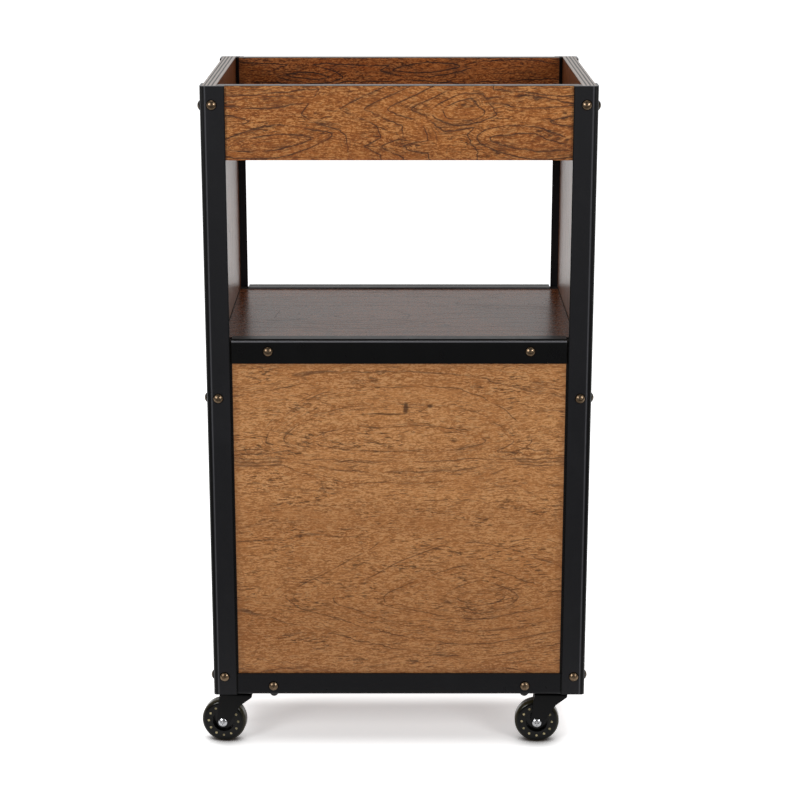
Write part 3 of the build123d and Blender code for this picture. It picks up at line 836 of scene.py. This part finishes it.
    def with_border_shade(self, board: Surface, face: Socket) -> tuple[Socket, Any]:
        """Paints shade on the board close to and behind the borders of the opening in which it shows.

        Args:
            board: The board.
            face: Colour so far.

        Returns:
            The colour, and the mask of the painted dark border or 0 without an opening.
        """
        if not self.opening:
            return face, 0.0
        graph, (low, high) = board.graph, self.opening
        where = {"place": board.place, "low": low, "high": high}
        # Painted shade: a soft darkening near the opening, and a near-black line at its border
        border, haze_shade = (graph.group(border_effect(), width=width, **where)["Border"]
                        for width in (self.border_width, self.haze_shade_width))
        colour = graph.mixed(graph.times(haze_shade, self.haze_shade_strength), face, self.dark)
        return graph.mixed(border, colour, seen(20, 13, 9)), border


@dataclass(frozen=True)
class SteelFinish:
    """Powder-coated steel: a dark skin with fine peel, faint mottle and worn patches, with painted
    highlights, reflections and shade along its bends, laps and flange ends.
    """

    name: str
    base: Colour
    rub_and_highlight: Colour
    roughness: float
    peel: float = 900.0
    metallic: float = 0.0
    specular: float = 0.5
    cut_level: float | None = None
    bend_reach: float | None = None
    bend_highlight_line: Span = (0.0002, 0.0014)
    bend_dark_reflection: Span = (0.0008, 0.0024)
    lap_edge: Span | None = None
    lap_dark_reflection: Span = (0.0085, 0.0105)
    lap_skin: float = 0.001
    lap_highlight_start: Span = (0.0004, 0.0012)
    lap_highlight_end: Span = (0.0020, 0.0032)
    seam_shade: Span | None = None
    seam_shade_blur: float = 0.0003

    def material(self) -> Material:
        """Makes the finish.

        Returns:
            The material.
        """
        material, graph, shader, position = new_material(self.name)
        skin = graph.group(coat_effect(), position=position, peel=self.peel)
        colour = graph.mixed(graph.times(skin["Rub"], 0.5), self.base, self.rub_and_highlight)
        roughness = graph.fused(skin["Mottle"], GLOSS_SPREAD, self.roughness - GLOSS_SPREAD / 2)
        if self.bend_reach:
            colour = self.with_bend_highlight(graph, position, colour)
        if self.seam_shade:
            colour = self.with_seam_shade(graph, position, colour)
        if self.cut_level:
            colour = graph.mixed(sawn_top(graph, position, self.cut_level), colour, seen(128, 128, 130))
        if self.lap_edge:
            colour, matt = self.with_lap_highlight(graph, position, colour)
            roughness = graph.math("MAXIMUM", roughness, matt)
        graph.feed(shader.inputs["Base Color"], colour)
        graph.feed(shader.inputs["Roughness"], roughness)
        graph.feed(shader.inputs["Normal"], graph.bump(skin["Height"], 0.1, 0.0002))
        shader.inputs["Metallic"].default_value = self.metallic
        shader.inputs["Specular IOR Level"].default_value = self.specular
        return material

    def with_bend_highlight(self, graph: Graph, position: Socket, face: Socket) -> Socket:
        """Paints a highlight line along an upright bend, with a painted dark reflection on the outside of the
        bend past it.

        Args:
            graph: The material's graph.
            position: Object coordinates.
            face: Colour of the flat skin.

        Returns:
            The colour.
        """
        past = graph.minus(graph.unsigned(graph.parts(position)[0]), self.bend_reach)
        # Painted highlight along the bend, and painted dark reflection past it
        line = graph.band(graph.unsigned(past), *self.bend_highlight_line, 0.8, 0.0)
        colour = graph.mixed(graph.band(past, *self.bend_dark_reflection), face, seen(6, 6, 7))
        return graph.mixed(line, colour, seen(80, 80, 84))

    def with_seam_shade(self, graph: Graph, position: Socket, face: Socket) -> Socket:
        """Paints a dark line of shade where an upright flange ends.

        Args:
            graph: The material's graph.
            position: Object coordinates.
            face: Colour of the flat skin.

        Returns:
            The colour.
        """
        across = graph.unsigned(graph.parts(position)[0])
        start, end = self.seam_shade
        inner = graph.band(across, start - self.seam_shade_blur, start + self.seam_shade_blur)
        outer = graph.fall(across, end - self.seam_shade_blur, end + self.seam_shade_blur)
        # Painted shade in near black
        return graph.mixed(graph.times(inner, outer), face, seen(2, 2, 2))

    def with_lap_highlight(self, graph: Graph, position: Socket, face: Socket) -> tuple[Socket, Socket]:
        """Paints a highlight line along a lap's level front bend, with a black line of painted dark
        reflection on the lap behind it.

        Args:
            graph: The material's graph.
            position: Object coordinates.
            face: Colour of the flat skin.

        Returns:
            The colour and the mask of the black line.
        """
        out, top = self.lap_edge
        _, y, z = graph.parts(position)
        behind = graph.minus(out, graph.unsigned(y))
        below = graph.minus(top, z)
        # Painted dark reflection in black on the lap, and a painted highlight along its front bend
        black = graph.times(graph.fall(behind, *self.lap_dark_reflection), graph.fall(below, 0.0, self.lap_skin))
        rub_and_highlight = graph.times(graph.band(below, *self.lap_highlight_start), graph.fall(below, *self.lap_highlight_end))
        colour = graph.mixed(black, face, seen(1, 1, 1))
        return graph.mixed(rub_and_highlight, colour, seen(108, 108, 112)), black


@dataclass(frozen=True)
class BronzeFinish:
    """Antique bronze: bright worn metal, stained with patina, with painted shade towards the edge of each
    dome.
    """

    name: str
    bright: Colour
    patina: Colour
    edge_shade: Colour
    edge_shade_depth: Span = (0.0019, 0.0031)

    def material(self, axis: int, reach: float) -> Material:
        """Makes the finish for domes that stand out along one axis.

        Args:
            axis: Number of the axis.
            reach: How far the tops of the domes are from the middle of the trolley.

        Returns:
            The material.
        """
        material, graph, shader, position = new_material(self.name)
        skin = graph.group(coat_effect(), position=position, peel=1500.0)
        stain = graph.band(graph.noise(position, BRONZE_STAINS), 0.40, 0.66, 0.0, 0.7)
        depth = graph.minus(reach, graph.unsigned(graph.parts(position)[axis]))
        # Painted shade darkens each dome towards its edge
        edge_shade = graph.band(depth, *self.edge_shade_depth)
        colour = graph.mixed(edge_shade, graph.mixed(stain, self.bright, self.patina), self.edge_shade)
        roughness = graph.fused(edge_shade, 0.3, graph.fused(stain, 0.08, 0.30))
        graph.feed(shader.inputs["Base Color"], colour)
        graph.feed(shader.inputs["Roughness"], roughness)
        graph.feed(shader.inputs["Normal"], graph.bump(skin["Height"], 0.02, 0.00002))
        shader.inputs["Metallic"].default_value = 1.0
        return material


@dataclass(frozen=True)
class TyreFinish:
    """Smoky tyre: nearly black, with painted light: olive near the tread where light comes through it, a
    faint painted highlight ring round its recess, and pale dots where light shines through holes in the core.
    """

    name: str
    body: Colour
    light_tint: Colour
    light_dot: Colour
    dot_count: int = 12
    dot_circle: float = 0.0206
    dot_radius: float = 0.0019
    highlight_circle: float = 0.0178
    highlight_width: float = 0.0005

    def material(self, centre: Vector, forward: Vector, radius: float) -> Material:
        """Makes the finish for one wheel.

        Args:
            centre: Middle of the wheel.
            forward: Level direction across its axle.
            radius: Radius of the tread.

        Returns:
            The material.
        """
        material, graph, shader, position = new_material(self.name)
        polar = graph.group(wheel_effect(), position=position, centre=centre, forward=forward)
        skin = graph.group(coat_effect(), position=position, peel=700.0)
        # Painted light: pale dots where light shines through holes in the core
        share = graph.math("FRACT", graph.fused(polar["Turn"], float(self.dot_count), 0.5))
        step = graph.times(graph.minus(share, 0.5), math.tau * self.dot_circle / self.dot_count)
        away = graph.diagonal(step, graph.minus(polar["Radius"], self.dot_circle))
        light_dot = graph.fall(away, self.dot_radius * 0.62, self.dot_radius * 1.05)
        light_dot = graph.times(light_dot, graph.band(skin["Mottle"], 0.35, 0.6, 0.35, 1.0))
        # Painted highlight: a faint ring round the recess
        beside = graph.unsigned(graph.minus(polar["Radius"], self.highlight_circle))
        highlight_ring = graph.fall(beside, self.highlight_width * 0.3, self.highlight_width)
        highlight_ring = graph.times(highlight_ring, graph.band(skin["Rub"], 0.0, 0.8, 0.15, 0.8))
        # Painted light: olive near the tread, where light comes through the tyre
        colour = graph.mixed(graph.band(polar["Radius"], radius * 0.86, radius), self.body, self.light_tint)
        colour = graph.mixed(highlight_ring, colour, self.light_tint)
        graph.feed(shader.inputs["Base Color"], graph.mixed(light_dot, colour, self.light_dot))
        graph.feed(shader.inputs["Roughness"], graph.fused(skin["Mottle"], 0.14, 0.16))
        graph.feed(shader.inputs["Normal"], graph.bump(skin["Height"], 0.06, 0.0003))
        shader.inputs["Specular IOR Level"].default_value = 0.2
        shader.inputs["Coat Weight"].default_value = 0.1
        shader.inputs["Coat Roughness"].default_value = 0.08
        return material


# Sub-assemblies
def dress(node: str, material: Material) -> None:
    """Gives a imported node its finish.

    Args:
        node: Name of the node.
        material: Its finish.
    """
    piece = frame["nodes"][node]
    if not piece.material_slots:
        piece.data.materials.append(material)
    for holder in piece.material_slots:
        holder.material = material
    log.info("dressed %s in %s", node, material.name)


@dataclass
class SteelFrame:
    """Posts and rails of bent steel angle."""

    posts: tuple[str, ...] = tuple(f"{corner}_post" for corner in CORNERS)
    shelf_rails: tuple[str, ...] = ("front_shelf_rail", "back_shelf_rail")
    bottom_rails: tuple[str, ...] = ("front_bottom_rail", "back_bottom_rail")
    bend: float = 0.0068
    # Spans of painted shade along the inner edges of the posts' flanges, on the posts and on the bottom rails
    post_seam_shade: Span = (-0.001, 0.001)
    rail_seam_shade: Span = (-0.0015, 0.02)

    def dress(self) -> None:
        """Finishes the posts and rails."""
        flange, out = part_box("front_right_post")
        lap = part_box("back_shelf_rail")[1]
        seam_shades = [tuple(flange[0] + end for end in seam_shade) for seam_shade in (self.post_seam_shade, self.rail_seam_shade)]
        post_finish = SteelFinish("Black post steel", seen(29, 29, 32), seen(37, 37, 40), 0.36, specular=0.3,
                                  cut_level=out[2], bend_reach=out[0] - self.bend, seam_shade=seam_shades[0])
        # The shelf rails get a darker copy of the posts' steel: painted shade
        shelf_finish = SteelFinish("Black shelf rail steel", seen(11, 11, 12), seen(16, 16, 17), 0.3,
                                   specular=0.25, lap_edge=(lap[1], lap[2]))
        bottom_finish = SteelFinish("Black bottom rail steel", seen(28, 28, 30), seen(34, 34, 36), 0.3,
                                    specular=0.15, seam_shade=seam_shades[1])
        for nodes, finish in ((self.posts, post_finish), (self.shelf_rails, shelf_finish),
                              (self.bottom_rails, bottom_finish)):
            material = finish.material()
            for node in nodes:
                dress(node, material)


@dataclass
class Boards:
    """Tray, shelf, compartment and side panels in lacquered veneer."""

    tray_figures: Figures = (
        Leaf(-0.166, 0.8335, 0.0884, 0.0884, 0.0230, 0.0240, 2.3, lean=0.12, mirrored=True),
        Leaf(-0.164, 0.8862, 0.0660, 0.0660, 0.0075, 0.0090, 1.0, lean=0.05, mirrored=True),
        Leaf(-0.228, 0.8615, 0.0340, 0.0460, 0.0085, 0.0085, 1.0, mirrored=True),
        Leaf(-0.205, 0.9035, 0.1200, 0.1300, 0.0100, 0.0100, 0.9, lean=0.03, mirrored=True),
        Wedge(-0.129, 0.8705, 0.9, 2.5, 0.024, 1.0, 0.024, mirrored=True),
        Wedge(-0.081, 0.8770, 2.3, 2.4, 0.030, 5.0, 0.020),
        Leaf(0.073, 0.8700, 0.0420, 0.0420, 0.0250, 0.0220, 1.3, lean=0.12),
        Leaf(0.000, 0.8300, 0.0600, 0.0600, 0.0100, 0.0120, 1.0),
    )
    tray_bands: tuple[Span, ...] = ((0.0, 0.86), (0.18, 0.92), (0.4, 1.0), (1.0, 1.0))
    tray_back_figures: Figures = (
        Leaf(-0.12, 0.882, 0.08, 0.05, 0.016, 0.014, 2.0, lean=-0.06),
        Leaf(0.03, 0.894, 0.06, 0.08, 0.012, 0.016, 2.2, lean=0.05),
    )
    # Opening round which the back board gets painted shade
    tray_back_opening: tuple[Vector, Vector] = ((-0.2258, 0.0, 0.0), (0.2258, 2.0, 0.0))
    cabinet_figures: Figures = (
        Leaf(-0.250, 0.5220, 0.090, 0.130, 0.026, 0.026, 1.9, power=1.3, mirrored=True),
        Leaf(-0.190, 0.4185, 0.110, 0.110, 0.015, 0.012, 2.6, power=1.2, mirrored=True),
        Leaf(0.000, 0.4400, 0.190, 0.190, 0.070, 0.055, 3.4, power=3.4),
        Leaf(0.098, 0.2168, 0.300, 0.300, 0.105, 0.090, 4.0, power=1.3),
        Leaf(0.112, 0.2220, 0.054, 0.054, 0.030, 0.030, 1.7),
        Leaf(-0.140, 0.1120, 0.090, 0.090, 0.020, 0.020, 1.0, mirrored=True),
    )
    cabinet_knots: tuple[tuple[Vector, Vector], ...] = (
        ((0.008, 0.4850, -0.17), (0.0048, 0.0100, 1.0)),
        ((0.041, 0.4885, -0.17), (0.0050, 0.0034, 1.0)),
        ((-0.018, 0.4770, -0.17), (0.034, 0.0017, 1.0)),
    )
    cabinet_bands: tuple[Span, ...] = ((0.0, 0.87), (0.22, 0.85), (0.38, 0.92), (0.44, 0.97), (0.49, 0.89),
                                       (0.53, 0.90), (0.58, 1.0), (0.80, 1.0), (1.0, 0.97))
    sill_gap: float = 0.0012
    level_figures: Figures = (
        Leaf(-0.060, -0.040, 0.200, 0.120, 0.060, 0.060, 3.0),
        Leaf(0.150, 0.050, 0.120, 0.140, 0.040, 0.040, 2.2),
    )
    side_figures: Figures = (
        Leaf(0.350, 0.030, 0.300, 0.220, 0.070, 0.070, 4.0),
        Leaf(0.760, -0.050, 0.180, 0.260, 0.060, 0.060, 3.0),
    )

    def tray_finish(self) -> WoodFinish:
        """Gives the tray's finish, with bold dark figures on warm mid brown."""
        return WoodFinish(
            "Tray veneer", Lie.FRONT, seen(181, 109, 47), seen(163, 94, 37), seen(155, 81, 26),
            seen(110, 56, 11), seen(50, 26, 10), seen(224, 163, 98), self.tray_figures,
            pitch=0.2, shift=0.2, wander=0.3, line_strength=0.75, line_width=0.0012,
            fleck_strength=0.56, edge_strength=0.15, top=TopEdge.CUT, bands=self.tray_bands)

    def tray_back_finish(self) -> WoodFinish:
        """Gives the finish of the tray's back board, a little redder than the front."""
        return WoodFinish(
            "Tray back veneer", Lie.FRONT, seen(164, 92, 40), seen(152, 82, 33), seen(143, 71, 27),
            seen(70, 32, 10), seen(28, 15, 9), seen(190, 124, 70), self.tray_back_figures,
            fleck_strength=0.75, edge_strength=0.3, opening=self.tray_back_opening,
            top=TopEdge.CUT)

    def tray_floor_finish(self) -> WoodFinish:
        """Gives the finish of the tray's floor."""
        return WoodFinish(
            "Tray floor veneer", Lie.LEVEL, seen(150, 92, 48), seen(136, 82, 42), seen(128, 72, 36),
            seen(96, 54, 28), seen(50, 28, 15), seen(180, 122, 74), self.level_figures)

    def cabinet_finish(self) -> WoodFinish:
        """Gives the lower panel's finish, golden with softer figures."""
        low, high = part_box("front_shelf_rail")
        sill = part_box("front_bottom_rail")[1][2]
        # Painted shade round the opening between the rails and posts
        opening = ((low[0], sill - self.sill_gap, 0.0), (high[0], low[2], 0.0))
        return WoodFinish(
            "Cabinet veneer", Lie.FRONT, seen(198, 135, 77), seen(187, 124, 68), seen(178, 112, 55),
            seen(128, 77, 37), seen(70, 41, 20), seen(230, 180, 124), self.cabinet_figures,
            pitch=0.11, wander=0.5, wander_scale=(5.0, 22.0, 8.0), line_strength=0.6,
            line_fade=0.47, fleck_strength=0.44, bands=self.cabinet_bands,
            knots=self.cabinet_knots, opening=opening)

    def shelf_finish(self, name: str) -> WoodFinish:
        """Gives the finish of the shelf and the bottom board, dark and glossy.

        Args:
            name: Name of the board's material.

        Returns:
            The finish.
        """
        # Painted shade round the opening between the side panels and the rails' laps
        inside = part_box("right_side_panel")[0][0]
        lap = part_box("back_shelf_rail")[0][1]
        return WoodFinish(
            name, Lie.LEVEL, seen(134, 78, 44), seen(125, 72, 38), seen(118, 64, 33),
            seen(88, 47, 24), seen(48, 26, 14), seen(160, 102, 62), self.level_figures,
            line_strength=0.5, fleck_strength=0.65, fineness=(0.45, 0.35, 1.0), gloss=0.26,
            opening=((-inside, -lap, 0.0), (inside, lap, 0.0)), border_width=0.0026)

    def side_finish(self, name: str) -> WoodFinish:
        """Gives the side panels' finish, with upright grain, plies along the top edge and painted shade on
        the inner faces.
        """
        return WoodFinish(
            name, Lie.SIDE, seen(152, 88, 42), seen(135, 74, 33), seen(125, 64, 26),
            seen(93, 47, 19), seen(55, 29, 13), seen(190, 122, 68), self.side_figures,
            wander_scale=(5.0, 26.0, 8.0), fleck_strength=0.5, gloss=0.38, top=TopEdge.PLIES,
            inside=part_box("right_side_panel")[0][0])

    def dowel_finish(self) -> WoodFinish:
        """Gives the finish of the beech dowels."""
        return WoodFinish(
            "Dowel beech", Lie.FRONT, seen(206, 176, 134), seen(196, 164, 122), seen(190, 156, 112),
            seen(178, 144, 104), seen(130, 98, 66), seen(220, 194, 154), line_strength=0.2)

    def dress(self) -> None:
        """Finishes every board by its own box."""
        finishes = {
            "tray_front_board": self.tray_finish(),
            "tray_back_board": self.tray_back_finish(),
            "tray_floor": self.tray_floor_finish(),
            "shelf_board": self.shelf_finish("Shelf veneer"),
            "bottom_board": self.shelf_finish("Bottom veneer"),
            "cabinet_front_panel": self.cabinet_finish(),
            "left_side_panel": self.side_finish("Left side veneer"),
            "right_side_panel": self.side_finish("Right side veneer"),
            "joint_dowels": self.dowel_finish(),
        }
        for node, finish in finishes.items():
            low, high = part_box(node)
            dress(node, finish.material(tuple(low), tuple(high)))


@dataclass
class Fasteners:
    """Domed screws and cap screws."""

    side_domes: tuple[str, ...] = ("left_post_screws", "right_post_screws")
    front_domes: tuple[str, ...] = ("front_post_screws", "back_post_screws", "shelf_rail_screws",
                                    "bottom_rail_screws")
    # The side domes get a darker copy of the bronze: painted shade
    side_finish: BronzeFinish = BronzeFinish("Shaded side bronze", seen(84, 73, 58), seen(56, 46, 34),
                                             seen(12, 9, 7))
    front_finish: BronzeFinish = BronzeFinish("Antique bronze", seen(150, 128, 104), seen(94, 75, 57),
                                              seen(24, 19, 14))
    cap_finish: SteelFinish = SteelFinish("Black cap steel", seen(20, 20, 21), seen(28, 28, 29), 0.36)

    def dress(self) -> None:
        """Finishes every group of screws."""
        domes = ((self.side_domes, self.side_finish), (self.front_domes, self.front_finish))
        for axis, (nodes, finish) in enumerate(domes):
            for node in nodes:
                low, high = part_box(node)
                reach = max(abs(low[axis]), abs(high[axis]))
                dress(node, finish.material(axis, reach))
        dress("bottom_cap_screws", self.cap_finish.material())


@dataclass
class Caster:
    """One swivel caster: cup, stem, balls, fork, axle, nut and wheel."""

    corner: str
    tyre: TyreFinish = TyreFinish("Smoky tyre", seen(7, 7, 6), seen(58, 54, 36), seen(196, 182, 140))
    centre: Vector = field(init=False)
    forward: Vector = field(init=False)
    radius: float = field(init=False)

    def __post_init__(self) -> None:
        """Reads the wheel's place from its joint and its size from its box."""
        joint = next(j for j in frame["joints"] if j["name"] == f"{self.corner}_roll")
        self.centre = tuple(joint["pos_m"])
        axle = np.array(joint["axis"])
        self.forward = tuple(np.cross(axle, (0.0, 0.0, 1.0)).tolist())
        low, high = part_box(f"{self.corner}_tyre")
        self.radius = (high[2] - low[2]) / 2

    def dress(self, black: Material, zinc: Material, core: Material) -> None:
        """Finishes the caster's pieces.

        Args:
            black: Finish of the cup and the fork.
            zinc: Finish of the stem, balls, axle and nut.
            core: Finish of the wheel's core.
        """
        finishes = {"caster_cup": black, "fork": black, "caster_stem": zinc, "swivel_balls": zinc,
                    "axle": zinc, "axle_nut": zinc, "wheel_core": core}
        for part, material in finishes.items():
            dress(f"{self.corner}_{part}", material)
        dress(f"{self.corner}_tyre", self.tyre.material(self.centre, self.forward, self.radius))


@dataclass
class Casters:
    """The four casters and the finishes that they share."""

    black: SteelFinish = SteelFinish("Caster black", seen(7, 7, 8), seen(13, 13, 14), 0.32, specular=0.2)
    zinc: SteelFinish = SteelFinish("Caster zinc", seen(214, 215, 218), seen(180, 180, 182), 0.26,
                                    peel=1600.0, metallic=1.0)
    core: SteelFinish = SteelFinish("Wheel core plastic", seen(7, 7, 7), seen(14, 14, 14), 0.26,
                                    peel=1200.0, specular=0.3)

    def dress(self) -> None:
        """Finishes all four."""
        finishes = [finish.material() for finish in (self.black, self.zinc, self.core)]
        for corner in CORNERS:
            Caster(corner).dress(*finishes)


# Studio
@dataclass(frozen=True)
class Lamp:
    """A soft round lamp that points at a place."""

    name: str
    place: Vector
    aim: Vector
    size: float
    power: float

    def build(self) -> None:
        """Adds the lamp, turned so that it looks from its place to its aim."""
        data = bpy.data.lights.new(self.name, "AREA")
        data.shape = "DISK"
        data.size = self.size
        data.energy = self.power
        lamp = bpy.data.objects.new(self.name, data)
        bpy.context.scene.collection.objects.link(lamp)
        way = np.array(self.aim) - np.array(self.place)
        level = math.hypot(way[0], way[1])
        lamp.location = self.place
        lamp.rotation_euler = (math.atan2(level, -way[2]), 0.0, math.atan2(-way[0], way[1]))


@dataclass
class Studio:
    """White studio: a pale floor, a white surround that is dimmer in front, and soft lamps.

    Each span is a stretch of the floor, or of directions, over which one level becomes another.
    """

    floor_half: float = 24.0
    floor_pale: Colour = seen(246, 246, 246)
    floor_plain: Colour = seen(243, 243, 243)
    # Painted contact shadow in the narrow gaps under the wheels
    contact_shadow_colour: Colour = seen(96, 84, 78)
    contact_shadow_reach: float = 0.045
    contact_shadow_open: Span = (0.25, 0.9)
    front_gloss: float = 0.06
    far_gloss: float = 0.45
    far_span: Span = (-8.0, -2.0)
    front_span: Span = (-0.7, 0.3)
    near_glow: float = 0.95
    glow_span: Span = (0.5, 1.8)
    # Painted shadow under the trolley: its glow and the spans over which it fades
    shade_glow: float = 0.42
    shade_front: Span = (-0.185, -0.120)
    shade_back: Span = (-0.03, 0.02)
    shade_side: Span = (0.19, 0.27)
    front_level: float = 0.08
    back_level: float = 0.6
    level_span: Span = (-0.15, 0.6)
    lamps: tuple[Lamp, ...] = (
        Lamp("Key lamp", (-2.0, -2.3, 1.5), (0.0, 0.0, 0.5), 1.1, 32.0),
        Lamp("Fill lamp", (2.0, -2.3, 1.5), (0.0, 0.0, 0.5), 1.1, 29.0),
        Lamp("Top lamp", (0.0, 0.2, 3.2), (0.0, 0.0, 0.0), 1.8, 25.0),
    )

    def build(self) -> None:
        """Adds the floor, the surround and the lamps."""
        self.build_floor()
        self.build_surround()
        for lamp in self.lamps:
            lamp.build()
        bpy.context.scene.view_settings.view_transform = "Standard"

    def build_floor(self) -> None:
        """Adds one large square of floor."""
        half = self.floor_half
        corners = [(-half, -half, 0.0), (half, -half, 0.0), (half, half, 0.0), (-half, half, 0.0)]
        mesh = bpy.data.meshes.new("Studio floor")
        mesh.from_pydata(corners, [], [(0, 1, 2, 3)])
        floor = bpy.data.objects.new("Studio floor", mesh)
        bpy.context.scene.collection.objects.link(floor)
        mesh.materials.append(self.floor_material())

    def floor_material(self) -> Material:
        """Makes the floor white in pictures and reflections, with painted shadows of the trolley.

        Reflections see it dimmer in front of the trolley, where a studio is dark round the camera. Painted
        contact shadows darken it in the narrow gaps under the wheels, and a painted shadow darkens it under
        the trolley.

        Returns:
            The material.
        """
        material, graph, shader, position = new_material("Studio floor")
        x, y, _ = graph.parts(position)
        path = graph.add("ShaderNodeLightPath").outputs
        # Painted contact shadow where the floor is hemmed in by the wheels
        gap_occlusion = graph.add("ShaderNodeAmbientOcclusion", {"Distance": self.contact_shadow_reach}, samples=8).outputs["AO"]
        open_share = graph.band(gap_occlusion, *self.contact_shadow_open)
        front = graph.band(y, *self.far_span, self.far_gloss, self.front_gloss)
        mirrored = graph.band(y, *self.front_span, front, 1.0)
        dimmed = graph.minus(1.0, graph.times(path["Is Glossy Ray"], graph.minus(1.0, mirrored)))
        tone = graph.mixed(graph.noise(position, FLOOR_SPECKS), self.floor_plain, self.floor_pale)
        tone = graph.mixed(open_share, self.contact_shadow_colour, tone)
        tone = graph.mixed(dimmed, (0.0, 0.0, 0.0, 1.0), tone)
        # Painted shadow under the trolley
        shade = graph.times(graph.band(y, *self.shade_front), graph.fall(y, *self.shade_back))
        shade = graph.times(shade, graph.fall(graph.unsigned(x), *self.shade_side))
        glow = graph.band(graph.vector("LENGTH", position), *self.glow_span, self.near_glow, 1.0)
        glow = graph.fused(shade, self.shade_glow - self.near_glow, glow)
        glow = graph.times(graph.times(glow, open_share), dimmed)
        looked_at = graph.math("MAXIMUM", path["Is Camera Ray"], path["Is Glossy Ray"])
        graph.feed(shader.inputs["Base Color"], tone)
        graph.feed(shader.inputs["Emission Strength"], graph.times(looked_at, glow))
        shader.inputs["Emission Color"].default_value = WHITE
        shader.inputs["Roughness"].default_value = 0.9
        shader.inputs["Specular IOR Level"].default_value = 0.1
        return material

    def build_surround(self) -> None:
        """Lights the scene from a surround that is bright behind the trolley and dimmer in front of it."""
        world = bpy.data.worlds.new("Studio surround")
        world.use_nodes = True
        bpy.context.scene.world = world
        graph = Graph(world.node_tree)
        background = world.node_tree.nodes["Background"]
        way = graph.parts(graph.add("ShaderNodeTexCoord").outputs["Generated"])
        level = graph.band(way[1], *self.level_span, self.front_level, self.back_level)
        camera = graph.add("ShaderNodeLightPath").outputs["Is Camera Ray"]
        graph.feed(background.inputs["Strength"], graph.math("MAXIMUM", camera, level))
        background.inputs["Color"].default_value = WHITE


@dataclass(frozen=True)
class PhotoCamera:
    """Camera that stands where the photograph was taken."""

    focal_pixels: float = 2106.7
    centre_pixel: float = 399.15
    pitch_degrees: float = 15.32
    distance: float = 2.6553
    height: float = 1.1425

    def build(self) -> None:
        """Adds the camera, level from side to side and pitched down at the trolley."""
        data = bpy.data.cameras.new("Photo camera")
        data.sensor_width = SENSOR
        data.lens = self.focal_pixels / FRAME_PIXELS * SENSOR
        data.shift_x = 0.5 - self.centre_pixel / FRAME_PIXELS
        camera = bpy.data.objects.new("Photo camera", data)
        bpy.context.scene.collection.objects.link(camera)
        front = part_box("front_left_post")[0]
        camera.location = (0.0, front[1] - self.distance, front[2] + self.height)
        camera.rotation_euler = (math.radians(90.0 - self.pitch_degrees), 0.0, 0.0)
        bpy.context.scene.camera = camera


def main() -> None:
    """Dresses the trolley and sets up its studio."""
    logging.basicConfig(level=logging.INFO, format="%(name)s: %(message)s")
    for assembly in (SteelFrame(), Boards(), Fasteners(), Casters()):
        assembly.dress()
    Studio().build()
    PhotoCamera().build()


if __name__ == "__main__":
    main()
